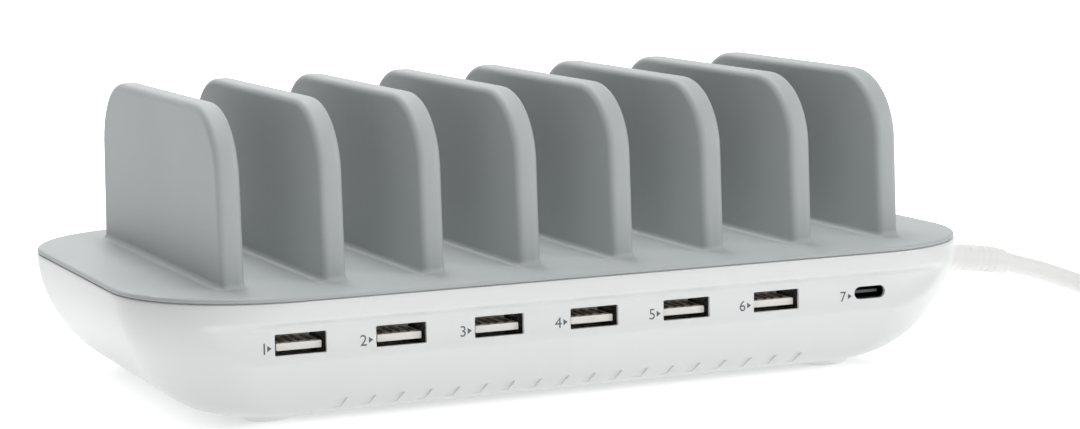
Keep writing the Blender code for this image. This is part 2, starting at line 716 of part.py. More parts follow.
# Feet and case screws
def make_feet_and_screws():
    pad = cylinders("rubber_foot", [(0, 0)], PAD_RADIUS, 0, PAD_THICK)
    head_top = POST_Z - POST_WEB - FIT
    tip = POST_Z + CASE_SCREW_GRIP - head_top
    profile = [
        (0, tip), (CASE_SCREW_RADIUS, tip - CASE_SCREW_RADIUS), (CASE_SCREW_RADIUS, 0),
        (CASE_HEAD_RADIUS, 0), (CASE_HEAD_RADIUS, -CASE_HEAD_HEIGHT), (0, -CASE_HEAD_HEIGHT),
    ]
    for number, (x, y) in enumerate(FOOT_SPOTS, 1):
        piece(f"rubber_foot_{number}", pad, RUBBER, (x, y, 0))
        turned_piece(f"case_screw_{number}", profile, STEEL, (x, y, head_top), steps=12)


# USB sockets and their board
def shell_mesh():
    """A box that is open at its mouth, y = 0."""
    bm = bmesh.new()
    size = Matrix.Diagonal((SHELL_WIDTH, SHELL_DEPTH, SHELL_HEIGHT, 1))
    bmesh.ops.create_cube(bm, size=1, matrix=Matrix.Translation((0, SHELL_DEPTH / 2, 0)) @ size)
    bm.faces.ensure_lookup_table()
    mouth = min(bm.faces, key=lambda face: face.calc_center_median().y)
    bmesh.ops.delete(bm, geom=[mouth], context="FACES_ONLY")
    return mesh_of(bm, "usb_a_shell")


def tongue_mesh():
    root_back = SHELL_DEPTH - SHELL_WALL - FIT
    root_half = SHELL_HEIGHT / 2 - SHELL_WALL - FIT
    top = TONGUE_THICK / 2 - TONGUE_DROP
    bottom = -TONGUE_THICK / 2 - TONGUE_DROP
    root_front = root_back - TONGUE_ROOT
    side = [
        (TONGUE_SETBACK, bottom), (root_front, bottom), (root_front, -root_half), (root_back, -root_half),
        (root_back, root_half), (root_front, root_half), (root_front, top), (TONGUE_SETBACK, top),
    ]
    return placed(slab("usb_a_tongue", [side], TONGUE_WIDTH), ACROSS_X)


def make_usb_a_sockets():
    shell, tongue = shell_mesh(), tongue_mesh()
    for number, x in enumerate(A_XS, 1):
        made = piece(f"usb_a_shell_{number}", shell, STEEL, (x, SHELL_Y, PORT_Z))
        wall = made.modifiers.new("sheet", "SOLIDIFY")
        wall.thickness = SHELL_WALL
        wall.offset = -1
        wall.use_even_offset = True
        piece(f"usb_a_tongue_{number}", tongue, WHITE_PLASTIC, (x, SHELL_Y, PORT_Z))


def make_usb_c_socket():
    loops = [capsule(C_WIDTH, C_HEIGHT), capsule(C_WIDTH - 2 * C_WALL, C_HEIGHT - 2 * C_WALL)]
    shell = placed(slab("usb_c_shell", loops, C_DEPTH), ACROSS_Y)
    piece("usb_c_shell", shell, STEEL, (C_X, SHELL_Y + C_DEPTH / 2, PORT_Z))
    tip = SHELL_Y + C_TONGUE_SETBACK
    root = SHELL_Y + C_DEPTH + FIT
    back = root + C_ROOT
    half, top = C_TONGUE_THICK / 2, C_HEIGHT / 2
    foot = USB_BOARD_TOP + FIT - PORT_Z
    side = [
        (tip, -half), (root, -half), (root, foot), (back, foot),
        (back, top), (root, top), (root, half), (tip, half),
    ]
    piece("usb_c_tongue", placed(slab("usb_c_tongue", [side], C_TONGUE_WIDTH), ACROSS_X), BLACK_PLASTIC,
          (C_X, 0, PORT_Z))


def screw_profile():
    foot = -BOARD_SCREW_LENGTH - BOARD_THICK + OVERRUN
    return [
        (0, BOARD_HEAD_HEIGHT), (BOARD_HEAD_RADIUS, BOARD_HEAD_HEIGHT), (BOARD_HEAD_RADIUS, 0),
        (BOARD_SCREW_RADIUS, 0), (BOARD_SCREW_RADIUS, foot + BOARD_SCREW_RADIUS), (0, foot),
    ]


def make_usb_board():
    half = C_X + SHELL_WIDTH / 2 + USB_BOARD_EDGE
    bottom = USB_BOARD_TOP - BOARD_THICK
    front = hull_front(bottom, WALL) + USB_BOARD_SETBACK
    board = piece("usb_board", boxes("usb_board", [
        ((-half, front, bottom), (half, USB_BOARD_BACK, USB_BOARD_TOP))
    ]), BOARD_GREEN)
    low, high = bottom - OVERRUN, USB_BOARD_TOP + OVERRUN
    front_posts = [(x, y) for x, y in FOOT_SPOTS if y < 0]
    cut(board, "post_notches", cylinders("post_notches", front_posts, POST_RADIUS + NOTCH_GAP, low, high))
    cut(board, "usb_board_holes",
        cylinders("usb_board_holes", USB_SCREW_SPOTS, BOARD_SCREW_RADIUS + FIT, low, high, 12))
    for number, (x, y) in enumerate(USB_SCREW_SPOTS, 1):
        at = (x, y, USB_BOARD_TOP + FIT)
        turned_piece(f"usb_board_screw_{number}", screw_profile(), STEEL, at, steps=12)


# Mains power board and what stands on it
def on_board(shares, lift=0):
    """Place on the power board's upper face."""
    x, y = shares
    return (POWER_BOARD_X + x * POWER_BOARD_LENGTH / 2, POWER_BOARD_Y + y * POWER_BOARD_DEPTH / 2,
            POWER_TOP + FIT + lift)


def board_sheet(name, radius, thickness):
    """A sheet of the power board's size, with a round hole at each of its screws."""
    spots = [(x - POWER_BOARD_X, y - POWER_BOARD_Y) for x, y in POWER_SCREW_SPOTS]
    holes = [circle(x, y, radius, 12) for x, y in spots]
    return slab(name, [rectangle(POWER_BOARD_LENGTH, POWER_BOARD_DEPTH), *holes], thickness)


def make_power_board():
    plate = board_sheet("power_board", BOARD_SCREW_RADIUS + FIT, BOARD_THICK)
    piece("power_board", plate, BOARD_GREEN, (POWER_BOARD_X, POWER_BOARD_Y, POWER_BOARD_Z + BOARD_THICK / 2))
    film = board_sheet("insulating_sheet", STANDOFF_RADIUS + FIT, SHEET_THICK)
    film_z = FLOOR_Z + FIT + SHEET_THICK / 2
    piece("insulating_sheet", film, CLEAR_SHEET, (POWER_BOARD_X, POWER_BOARD_Y, film_z))
    for number, (x, y) in enumerate(POWER_SCREW_SPOTS, 1):
        at = (x, y, POWER_TOP + FIT)
        turned_piece(f"power_board_screw_{number}", screw_profile(), STEEL, at, steps=12)


def board_size(shares):
    x, y, z = shares
    return (x * POWER_BOARD_LENGTH, y * POWER_BOARD_DEPTH, z * HEADROOM)


def make_transformer():
    length, width, height = board_size(CORE_SIZE_SHARES)
    leg, middle_leg = CORE_LEG_SHARE * width, CORE_MIDDLE_LEG_SHARE * width
    window_length, window_width = length - 2 * leg, width / 2 - leg - middle_leg / 2
    window_y = middle_leg / 2 + window_width / 2
    window = rectangle(window_length, window_width)
    windows = [[(x, y + side * window_y) for x, y in window] for side in (-1, 1)]
    core = slab("transformer_core", [rectangle(length, width), *windows], height)
    winding_height = WINDING_HEIGHT_SHARE * HEADROOM
    at = on_board(TRANSFORMER_SHARES, winding_height / 2)
    piece("transformer_core", core, FERRITE, at)
    outer = rectangle(width - 2 * leg - 2 * FIT, winding_height)
    inner = rectangle(middle_leg + 2 * FIT, height + 2 * FIT)
    winding = placed(slab("transformer_winding", [outer, inner], window_length - 2 * FIT), ACROSS_X)
    piece("transformer_winding", winding, YELLOW_TAPE, at)


def make_capacitors():
    def can(radius_share, height_share):
        radius, height = radius_share * POWER_BOARD_DEPTH, height_share * HEADROOM
        shoulder = height - CAN_ROUNDING
        return [(0, height), (radius - CAN_ROUNDING, height), (radius, shoulder), (radius, 0), (0, 0)]

    large_can = can(BULK_RADIUS_SHARE, BULK_HEIGHT_SHARE)
    turned_piece("bulk_capacitor", large_can, CAN_SLEEVE, on_board(BULK_SHARES))
    small_can = can(OUTPUT_RADIUS_SHARE, OUTPUT_HEIGHT_SHARE)
    for number, shares in enumerate(OUTPUT_SHARES, 1):
        turned_piece(f"output_capacitor_{number}", small_can, CAN_SLEEVE, on_board(shares))
    block = centred_box("x_capacitor", board_size(X_CAPACITOR_SIZE_SHARES))
    piece("x_capacitor", block, YELLOW_CASE, on_board(X_CAPACITOR_SHARES))


def make_mains_parts():
    bore, radius = CHOKE_BORE_SHARE * POWER_BOARD_DEPTH, CHOKE_RADIUS_SHARE * POWER_BOARD_DEPTH
    ring = ring_profile(bore, radius, CHOKE_HEIGHT_SHARE * HEADROOM)
    turned_piece("mains_choke", ring, COPPER_WINDING, on_board(CHOKE_SHARES))
    half, radius = FUSE_LENGTH_SHARE * POWER_BOARD_LENGTH / 2, FUSE_RADIUS_SHARE * POWER_BOARD_DEPTH
    body = [(0, half), (radius, half), (radius, -half), (0, -half)]
    turned_piece("fuse", body, FUSE_BODY, on_board(FUSE_SHARES, radius), (0, math.pi / 2, 0), 16)
    block = centred_box("bridge_rectifier", board_size(BRIDGE_SIZE_SHARES))
    piece("bridge_rectifier", block, BLACK_PLASTIC, on_board(BRIDGE_SHARES))


def make_heat_sinks():
    half, height = SINK_FOOT_SHARE * POWER_BOARD_DEPTH / 2, SINK_HEIGHT_SHARE * HEADROOM
    inner = half - SINK_THICK
    angle = [(-half, 0), (half, 0), (half, height), (inner, height), (inner, SINK_THICK), (-half, SINK_THICK)]
    for name, length_share, shares in (
            ("primary_heat_sink", PRIMARY_SINK_LENGTH_SHARE, PRIMARY_SINK_SHARES),
            ("secondary_heat_sink", SECONDARY_SINK_LENGTH_SHARE, SECONDARY_SINK_SHARES)):
        sheet = slab(name, [angle], length_share * POWER_BOARD_LENGTH)
        piece(name, placed(sheet, ACROSS_X), ALUMINIUM, on_board(shares))


# Mains inlet, its pins and the wires inside
def pin_places():
    return [INLET_Y + side * PIN_SPACING / 2 for side in (-1, 1)]


def make_inlet():
    back = INLET_FACE_X - INLET_DEPTH
    body = boxes("mains_inlet", [
        ((back, INLET_Y - INLET_WIDTH / 2, INLET_Z - INLET_HEIGHT / 2),
         (INLET_FACE_X, INLET_Y + INLET_WIDTH / 2, INLET_Z + INLET_HEIGHT / 2))
    ])
    inlet = piece("mains_inlet", body, BLACK_PLASTIC)
    mouth = capsule(NOSE_WIDTH + 2 * FIT, NOSE_HEIGHT + 2 * FIT)
    pocket = slab("inlet_pocket", [mouth], INLET_POCKET + OVERRUN)
    pocket_middle = INLET_FACE_X + (OVERRUN - INLET_POCKET) / 2
    cut(inlet, "inlet_pocket", placed(pocket, ACROSS_X, (pocket_middle, INLET_Y, INLET_Z)))
    pocket_back = INLET_FACE_X - INLET_POCKET
    holes = [
        placed(slab("pin_hole", [circle(0, 0, PIN_RADIUS + FIT, 12)], PIN_ROOT + OVERRUN), ACROSS_X,
               (pocket_back + (OVERRUN - PIN_ROOT) / 2, y, INLET_Z))
        for y in pin_places()
    ]
    cut(inlet, "pin_holes", merged("pin_holes", holes))
    start = pocket_back - PIN_ROOT + FIT
    length = pocket_back + PIN_SHOWS - start
    pin = [(0, length), (PIN_RADIUS / 2, length), (PIN_RADIUS, length - PIN_RADIUS), (PIN_RADIUS, 0), (0, 0)]
    for number, y in enumerate(pin_places(), 1):
        turned_piece(f"inlet_pin_{number}", pin, BRASS, (start, y, INLET_Z), (0, math.pi / 2, 0), 12)


def make_wires():
    start_x = INLET_FACE_X - INLET_DEPTH - FIT
    for number, (y, shares) in enumerate(zip(pin_places(), MAINS_PAD_SHARES), 1):
        start = Vector((start_x, y, INLET_Z))
        pad = Vector(on_board(shares))
        route = [start, start - Vector((WIRE_REACH, 0, 0)), pad + Vector((0, 0, WIRE_RISE)), pad]
        wire = tube(f"mains_wire_{number}", smooth_route(route, WIRE_REACH), WIRE_RADIUS)
        piece(f"mains_wire_{number}", wire, WIRE_BROWN)
    for number, shares in enumerate(OUTPUT_PAD_SHARES, 1):
        pad = Vector(on_board(shares))
        top = PORT_Z
        end = Vector((pad.x, USB_BOARD_BACK - STANDOFF_REACH, USB_BOARD_TOP + FIT))
        route = [pad, pad + Vector((0, 0, WIRE_RISE)), Vector((pad.x, (pad.y + end.y) / 2, top)),
                 end + Vector((0, 0, WIRE_REACH)), end]
        wire = tube(f"output_wire_{number}", smooth_route(route, WIRE_REACH), WIRE_RADIUS)
        piece(f"output_wire_{number}", wire, WIRE_RED)


# Mains lead: connector, lead, coil, tie, tail and wall plug
def make_connector():
    grip_start = INLET_FACE_X + FIT
    grip_end = grip_start + GRIP_LENGTH
    grip = slab("cord_connector", [rectangle(GRIP_LENGTH, GRIP_WIDTH)], GRIP_HEIGHT, GRIP_ROUNDING)
    connector = piece("cord_connector", grip, WHITE_PVC, ((grip_start + grip_end) / 2, INLET_Y, INLET_Z))
    nose_tip = INLET_FACE_X - INLET_POCKET + FIT
    nose_end = grip_start + GRIP_ROUNDING + OVERRUN
    nose = slab("nose", [capsule(NOSE_WIDTH, NOSE_HEIGHT)], nose_end - nose_tip)
    join(connector, "nose", placed(nose, ACROSS_X, ((nose_tip + nose_end) / 2, INLET_Y, INLET_Z)))
    route = []
    tail_start = grip_end - GRIP_LENGTH / 2
    for i in range(CORNER_POINTS + 1):
        share = i / CORNER_POINTS
        x = tail_start + (TAIL_END_X - tail_start) * share
        route.append((x, INLET_Y, INLET_Z - TAIL_DROP * share * share))
    tail = evaluated("tail", tube("tail", route, TAIL_RADIUS, 3))
    join(connector, "tail", tail)
    hole_end = INLET_FACE_X - INLET_POCKET + PIN_SHOWS + FIT
    mouth = circle(0, 0, PIN_RADIUS + NOSE_HOLE_GAP, 12)
    hole_middle = (hole_end + nose_tip - OVERRUN) / 2
    holes = [
        placed(slab("nose_hole", [mouth], hole_end - nose_tip + OVERRUN), ACROSS_X, (hole_middle, y, INLET_Z))
        for y in pin_places()
    ]
    cut(connector, "nose_holes", merged("nose_holes", holes))


def make_cord():
    for name, points in (("cord_lead", LEAD_ROUTE), ("cord_tail", TAIL_ROUTE)):
        route = smooth_route([Vector(point) * MM for point in points], CORD_STEP)
        piece(name, tube(name, route, CORD_DIAMETER / 2), WHITE_PVC)
    height = COIL_TOP - COIL_Z
    ring = ring_profile(COIL_INNER, COIL_OUTER, height)
    turned_piece("cord_coil", ring, WHITE_PVC, (COIL_X, COIL_Y, COIL_Z), steps=48)
    gap_x, gap_z = COIL_OUTER - COIL_INNER + 2 * FIT, height + 2 * FIT
    loops = [rectangle(gap_x + 2 * TIE_THICK, gap_z + 2 * TIE_THICK), rectangle(gap_x, gap_z)]
    tie = placed(slab("coil_tie", loops, TIE_WIDTH), ACROSS_Y)
    piece("coil_tie", tie, BLACK_PLASTIC, (COIL_X - COIL_MIDDLE_RADIUS, COIL_Y, COIL_Z + height / 2))


def make_wall_plug():
    body_back = PLUG_NECK_X - PLUG_NECK_LENGTH
    body_front = body_back - PLUG_LENGTH
    middle = (body_back + body_front) / 2
    body = slab("wall_plug", [rectangle(PLUG_LENGTH, PLUG_WIDTH)], PLUG_THICK, PLUG_ROUNDING)
    plug = piece("wall_plug", body, WHITE_PVC, (middle, PLUG_Y, PLUG_Z))
    neck_length = PLUG_NECK_LENGTH + PLUG_LENGTH / 2
    neck_place = Matrix.Translation((PLUG_NECK_X - neck_length / 2, PLUG_Y, PLUG_Z))
    bm = bmesh.new()
    bmesh.ops.create_cone(
        bm, cap_ends=True, segments=20, radius1=PLUG_NECK_RADIUS, radius2=PLUG_NECK_END_RADIUS,
        depth=neck_length, matrix=neck_place @ Matrix.Rotation(math.pi / 2, 4, "Y"))
    join(plug, "neck", mesh_of(bm, "neck"))
    sides = [PLUG_Y + side * BLADE_SPACING / 2 for side in (-1, 1)]
    thick, wide = BLADE_THICK / 2, BLADE_WIDTH / 2
    cut(plug, "blade_slots", boxes("blade_slots", [
        ((body_front - OVERRUN, y - thick - FIT, PLUG_Z - wide - FIT),
         (body_front + BLADE_ROOT + FIT, y + thick + FIT, PLUG_Z + wide + FIT))
        for y in sides
    ]))
    tip, root = body_front - BLADE_LENGTH, body_front + BLADE_ROOT
    for number, y in enumerate(sides, 1):
        blade = boxes("plug_blade", [((tip, y - thick, PLUG_Z - wide), (root, y + thick, PLUG_Z + wide))])
        piece(f"plug_blade_{number}", blade, BRASS)


make_base_casing()
make_deck_cover()
make_feet_and_screws()
make_usb_a_sockets()
make_usb_c_socket()
make_usb_board()
make_power_board()
make_transformer()
make_capacitors()
make_mains_parts()
make_heat_sinks()
make_inlet()
make_wires()
make_connector()
make_cord()
make_wall_plug()
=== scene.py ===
# %% [markdown]
# # Charging station for seven devices
# The real object is a mains charger with a white lower casing, shaped like a shallow boat, and a light grey
# cover whose eight upright dividers keep seven phones or tablets apart.
# The CAD model gives every size and place. This lesson loads it, leaves it as it is, and builds finer pieces
# over the parts that show.

# %% Load the CAD model
import math

import bmesh
import bpy
from mathutils import Matrix, Vector


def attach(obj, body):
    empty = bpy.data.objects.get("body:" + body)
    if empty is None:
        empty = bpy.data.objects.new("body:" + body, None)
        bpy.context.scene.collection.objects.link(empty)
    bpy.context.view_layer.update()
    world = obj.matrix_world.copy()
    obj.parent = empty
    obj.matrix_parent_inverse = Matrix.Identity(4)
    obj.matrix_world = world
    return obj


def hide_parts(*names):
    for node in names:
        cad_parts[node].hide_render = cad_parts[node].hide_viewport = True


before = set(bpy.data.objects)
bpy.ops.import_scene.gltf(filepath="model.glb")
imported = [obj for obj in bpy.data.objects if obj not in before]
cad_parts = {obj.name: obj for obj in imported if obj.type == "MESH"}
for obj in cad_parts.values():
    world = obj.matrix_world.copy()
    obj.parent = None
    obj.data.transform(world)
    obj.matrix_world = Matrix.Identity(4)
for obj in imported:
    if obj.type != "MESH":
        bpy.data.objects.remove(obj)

MM = 0.001
scene = bpy.context.scene
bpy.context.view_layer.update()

# %% [markdown]
# The camera stands to the left of the object, a little above it, and looks at it through a long lens, as a
# product photographer's does. Its place and turn were worked out from the corners of the ports, the rim and
# the feet of the dividers, so a shape can be compared with the picture point by point.

# %% Camera
CAMERA_PLACE = Vector((-279.19, -672.15, 135.29)) * MM
TURN_RIGHT, LOOK_DOWN, LEAN = (math.radians(angle) for angle in (23.378, 7.465, -0.999))
LENS, SENSOR_WIDTH, FAR_CLIP = 93.442, 36, 50
SHIFT_X, SHIFT_Y = 0.004657, -0.00085
camera = bpy.data.objects.new("camera", bpy.data.cameras.new("camera"))
scene.collection.objects.link(camera)
camera.matrix_world = (
    Matrix.Translation(CAMERA_PLACE)
    @ Matrix.Rotation(-TURN_RIGHT, 4, "Z")
    @ Matrix.Rotation(math.pi / 2 - LOOK_DOWN, 4, "X")
    @ Matrix.Rotation(LEAN, 4, "Z")
)
camera.data.lens = LENS
camera.data.sensor_width = SENSOR_WIDTH
camera.data.shift_x = SHIFT_X
camera.data.shift_y = SHIFT_Y
camera.data.clip_end = FAR_CLIP
scene.camera = camera
print("Camera at", [round(value, 3) for value in camera.location])

# %% [markdown]
# Every finish below is a small network of shader nodes. One helper adds a node, sets it and links it, and a
# second turns the hex colours that a paint chart gives into the linear numbers that a renderer adds up.

# %% Helpers for node networks
def add(tree, kind, inputs=None, **settings):
    """Adds a node. settings are its own properties; inputs are values or other nodes' outputs, by socket."""
    made = tree.nodes.new(kind)
    for name, value in settings.items():
        setattr(made, name, value)
    for key, value in (inputs or {}).items():
        if isinstance(value, bpy.types.NodeSocket):
            tree.links.new(value, made.inputs[key])
        else:
            made.inputs[key].default_value = value
    return made


def linear(hex_colour):
    """#RRGGBB as linear red, green, blue and alpha."""
    parts = [int(hex_colour[i:i + 2], 16) / 255 for i in (1, 3, 5)]
    return (*(c / 12.92 if c <= 0.04045 else ((c + 0.055) / 1.055) ** 2.4 for c in parts), 1.0)


scene.view_settings.view_transform = "Standard"
print("Mid grey #808080 is", round(linear("#808080")[0], 3), "in linear light")

# %% [markdown]
# A white product picture needs two whites: a moderate one that lights the object, so that pale plastic keeps
# its shading, and a full one that the camera sees behind it. Light Path tells them apart. Reflections and
# glass get the full white too, because a mirror shows what the camera would.

# %% Studio world
def sight_rays(tree):
    """The Light Path node, and a socket that is 1 on rays from the camera, a reflection or glass."""
    path = add(tree, "ShaderNodeLightPath")
    seen = path.outputs["Is Camera Ray"]
    for kind in ("Is Glossy Ray", "Is Transmission Ray"):
        seen = add(tree, "ShaderNodeMath", {0: seen, 1: path.outputs[kind]}, operation="MAXIMUM").outputs[0]
    return path, seen


FILL = 0.1
studio = bpy.data.worlds.new("studio")
scene.world = studio
studio.use_nodes = True
studio.node_tree.nodes.clear()
_, seen = sight_rays(studio.node_tree)
fill = add(studio.node_tree, "ShaderNodeBackground", {"Color": linear("#FCFDFF"), "Strength": FILL})
white = add(studio.node_tree, "ShaderNodeBackground", {"Color": linear("#FFFFFF"), "Strength": 1.0})
mixed = add(studio.node_tree, "ShaderNodeMixShader", {0: seen, 1: fill.outputs[0], 2: white.outputs[0]})
add(studio.node_tree, "ShaderNodeOutputWorld", {"Surface": mixed.outputs[0]})
print("The world lights at", FILL)

# %% [markdown]
# Four wide soft boxes do the rest. The upper one and the one behind make the cover's flat deck its brightest
# face, the one at the front right lights the ports' side, and a weak low one at the front left keeps the
# slots from going dark. Big lamps close by give the soft edges of shade that show between the dividers.

# %% Lamps
LAMPS = {  # name: place, aim, width and depth in metres, and power in watts
    "upper_soft_box": ((0, 0, 1.4), (0, 0, 0), 0.45, 1.2, 10.6),
    "rear_soft_box": ((0, 1.2, 1.2), (0, 0, 0), 1.0, 1.0, 9.2),
    "front_right_soft_box": ((1.3, -1.2, 0.6), (0, 0, 0), 0.8, 0.8, 10.8),
    "low_front_left_soft_box": ((-0.9, -1.2, 0.15), (0, 0, 0.02), 0.8, 0.26, 1.8),
}
for name, (place, aim, width, depth, power) in LAMPS.items():
    lamp = bpy.data.lights.new(name, "AREA")
    lamp.shape = "RECTANGLE"
    lamp.size, lamp.size_y = width, depth
    lamp.energy = power
    holder = bpy.data.objects.new(name, lamp)
    scene.collection.objects.link(holder)
    holder.location = place
    holder.rotation_euler = (Vector(aim) - Vector(place)).to_track_quat("-Z", "Y").to_euler()
print(len(LAMPS), "soft boxes")

# %% [markdown]
# The floor is a plain pale sheet on a lit table, as product photographers use. The table's weak glow reaches
# the underside of the casing. A second glow, which only the camera, reflections and glass see, brings the
# sheet to full white. For the camera it is painted weaker under the object and for 25 mm round its underside:
# a painted shadow that darkens the floor there, on top of the soft shadow that the object casts.

# %% Floor
FLOOR_HALF = 6.0
# The camera's glow is painted weak near the object, so the floor there shows a painted shadow
TABLE_GLOW, PAINTED_SHADOW_GLOW, FAR_GLOW = 0.22, 0.02, 0.6
UNDERSIDE_HALF_X, UNDERSIDE_HALF_Y = 88 * MM, 46 * MM
PAINTED_SHADOW_CORE, PAINTED_SHADOW_EDGE = -15 * MM, 25 * MM  # measured outwards from the underside's outline
floor_mesh = bpy.data.meshes.new("floor")
floor_mesh.from_pydata(
    [(x * FLOOR_HALF, y * FLOOR_HALF, 0) for x, y in ((-1, -1), (1, -1), (1, 1), (-1, 1))],
    [], [(0, 1, 2, 3)])
floor = bpy.data.objects.new("floor", floor_mesh)
scene.collection.objects.link(floor)
paper = bpy.data.materials.new("matt_white_paper_with_painted_shadow")
paper.use_nodes = True
sheet = paper.node_tree
sheet.nodes.clear()
path, seen = sight_rays(sheet)
place = add(sheet, "ShaderNodeTexCoord")
apart = add(sheet, "ShaderNodeVectorMath", {0: place.outputs["Object"]}, operation="ABSOLUTE")
apart = add(sheet, "ShaderNodeVectorMath", {0: apart.outputs[0], 1: (UNDERSIDE_HALF_X, UNDERSIDE_HALF_Y, 0)},
            operation="SUBTRACT")
apart = add(sheet, "ShaderNodeSeparateXYZ", {0: apart.outputs[0]})
apart = add(sheet, "ShaderNodeMath", {0: apart.outputs["X"], 1: apart.outputs["Y"]}, operation="MAXIMUM")
# Camera rays get the weak glow of the painted shadow near the object, other rays the full glow
glow_in_painted_shadow = add(sheet, "ShaderNodeMath", {0: path.outputs["Is Camera Ray"], 1: PAINTED_SHADOW_GLOW - FAR_GLOW, 2: FAR_GLOW},
           operation="MULTIPLY_ADD")
glow = add(sheet, "ShaderNodeMapRange", {
    "Value": apart.outputs[0], "From Min": PAINTED_SHADOW_CORE, "From Max": PAINTED_SHADOW_EDGE,
    "To Min": glow_in_painted_shadow.outputs[0], "To Max": FAR_GLOW}, interpolation_type="SMOOTHSTEP")
lift = add(sheet, "ShaderNodeMath", {0: seen, 1: glow.outputs[0], 2: TABLE_GLOW}, operation="MULTIPLY_ADD")
matt = add(sheet, "ShaderNodeBsdfPrincipled", {
    "Base Color": linear("#F7F7F7"), "Roughness": 0.9, "Emission Color": linear("#FFFFFF"),
    "Emission Strength": lift.outputs[0]})
add(sheet, "ShaderNodeOutputMaterial", {"Surface": matt.outputs[0]})
floor_mesh.materials.append(paper)
print("Floor", 2 * FLOOR_HALF, "m wide")

# %% [markdown]
# Nearly all of the object is moulded plastic. What tells one plastic from another is its colour, how sharp
# its reflections are, and the grain that spark erosion leaves in the mould. The real grain is 0.05 to 0.1 mm
# across, too fine for this picture, so it is drawn at 0.35 mm and shallower. A slow change of tone over about
# 40 mm stands for the uneven flow of the melt.

# %% Finishes for moulded pieces
FLOW_SIZE = 40 * MM
NOISE_LOW, NOISE_HIGH = 0.3, 0.7  # most values of a noise texture lie between these
GLOSS_SPREAD, COAT_ROUGHNESS = 0.08, 0.15


def surface(name, colour, roughness, grain=0.35 * MM, depth=0.008 * MM, mottle=0.03, metal=0.0, ior=1.5,
            coat=0.0):
    """A finish with a slow change of tone, a fine grain, and gloss that varies with the grain."""
    made = bpy.data.materials.new(name)
    made.use_nodes = True
    tree = made.node_tree
    tree.nodes.clear()
    place = add(tree, "ShaderNodeTexCoord").outputs["Object"]
    flow = add(tree, "ShaderNodeTexNoise", {"Vector": place, "Scale": 1 / FLOW_SIZE, "Detail": 3.0})
    fine = add(tree, "ShaderNodeTexNoise", {"Vector": place, "Scale": 1 / grain, "Detail": 2.0})
    red, green, blue, _ = linear(colour)
    tone = add(tree, "ShaderNodeValToRGB", {"Fac": flow.outputs["Fac"]})
    tones = (1 - mottle, 1 + mottle)
    for stop, position, level in zip(tone.color_ramp.elements, (NOISE_LOW, NOISE_HIGH), tones):
        stop.position = position
        stop.color = (min(1, red * level), min(1, green * level), min(1, blue * level), 1)
    gloss = add(tree, "ShaderNodeMapRange", {
        "Value": fine.outputs["Fac"], "From Min": NOISE_LOW, "From Max": NOISE_HIGH,
        "To Min": roughness * (1 - GLOSS_SPREAD), "To Max": min(1, roughness * (1 + GLOSS_SPREAD))})
    relief = add(tree, "ShaderNodeBump", {"Height": fine.outputs["Fac"], "Strength": 1.0, "Distance": depth})
    body = add(tree, "ShaderNodeBsdfPrincipled", {
        "Base Color": tone.outputs["Color"], "Roughness": gloss.outputs["Result"], "Metallic": metal,
        "Normal": relief.outputs["Normal"]})
    if not metal:
        body.inputs["IOR"].default_value = ior
    if coat:
        body.inputs["Coat Weight"].default_value = coat
        body.inputs["Coat Roughness"].default_value = COAT_ROUGHNESS
    add(tree, "ShaderNodeOutputMaterial", {"Surface": body.outputs[0]})
    return made


# Cover: grey ABS with a fine spark-eroded grain, so its light is broad and soft, with no sharp reflection
grey_abs = surface("grey_moulded_abs", "#B4B9B9", 0.52, ior=1.54)
# Casing: white ABS out of a smoother mould, so the rim and the edges of the openings catch a highlight
white_abs = surface("white_moulded_abs", "#E7E9E8", 0.36, depth=0.004 * MM, mottle=0.012, ior=1.54)
# Lead, its connector and its plug: soft white PVC, duller than the casing and a touch whiter
white_pvc = surface("white_flexible_pvc", "#F0F0EF", 0.5, depth=0.006 * MM, mottle=0.015, ior=1.53)
# Feet: pale thermoplastic rubber, matt all over
foot_rubber = surface("pale_foot_rubber", "#DCDCD9", 0.85, depth=0.02 * MM, mottle=0.03, ior=1.5)
# Socket tongues: white PBT, slightly glossy
socket_pbt = surface("white_socket_pbt", "#F1EFEA", 0.35, depth=0.003 * MM, mottle=0.01, ior=1.55)
# Inlet, bridge rectifier and tie: black glass-filled nylon
black_nylon = surface("black_moulded_nylon", "#161616", 0.42, depth=0.006 * MM, ior=1.53)
print(len(bpy.data.materials), "finishes so far")

# %% [markdown]
# The metal parts are plated or rolled sheet. Plated steel inside a socket looks nearly black from the front,
# because it mirrors the dark inside, so it only needs the right gloss.

# %% Finishes for metal pieces
# Socket shells and screws: nickel-plated steel, grey and fairly sharp
nickel_steel = surface("nickel_plated_steel", "#8E8C88", 0.28, grain=0.5 * MM, depth=0.002 * MM, metal=1.0)
# Inlet pins and plug blades: plated brass, warmer
plated_brass = surface("plated_brass", "#D9C68F", 0.25, grain=0.5 * MM, depth=0.002 * MM, metal=1.0)
# Heat sinks: extruded aluminium, soft grey
aluminium = surface("extruded_aluminium", "#C6C8CA", 0.38, grain=0.6 * MM, depth=0.004 * MM, metal=1.0)
print("Three metals")

# %% [markdown]
# The cord is one piece of flexible PVC cable, 5.2 mm thick and 1.5 m long. It drops out of the connector's
# boot, runs along the floor, and the length that nobody needs is wound up for storage: seven turns in two
# layers, four turns wide, held by a tie. Each turn steps over by one cord's width within a third of a turn,
# the way a hand guides it, and its end goes up over the coil into the plug. The route is a list of points,
# because the shape of a coil is a rule: how far round, how far out, how high.

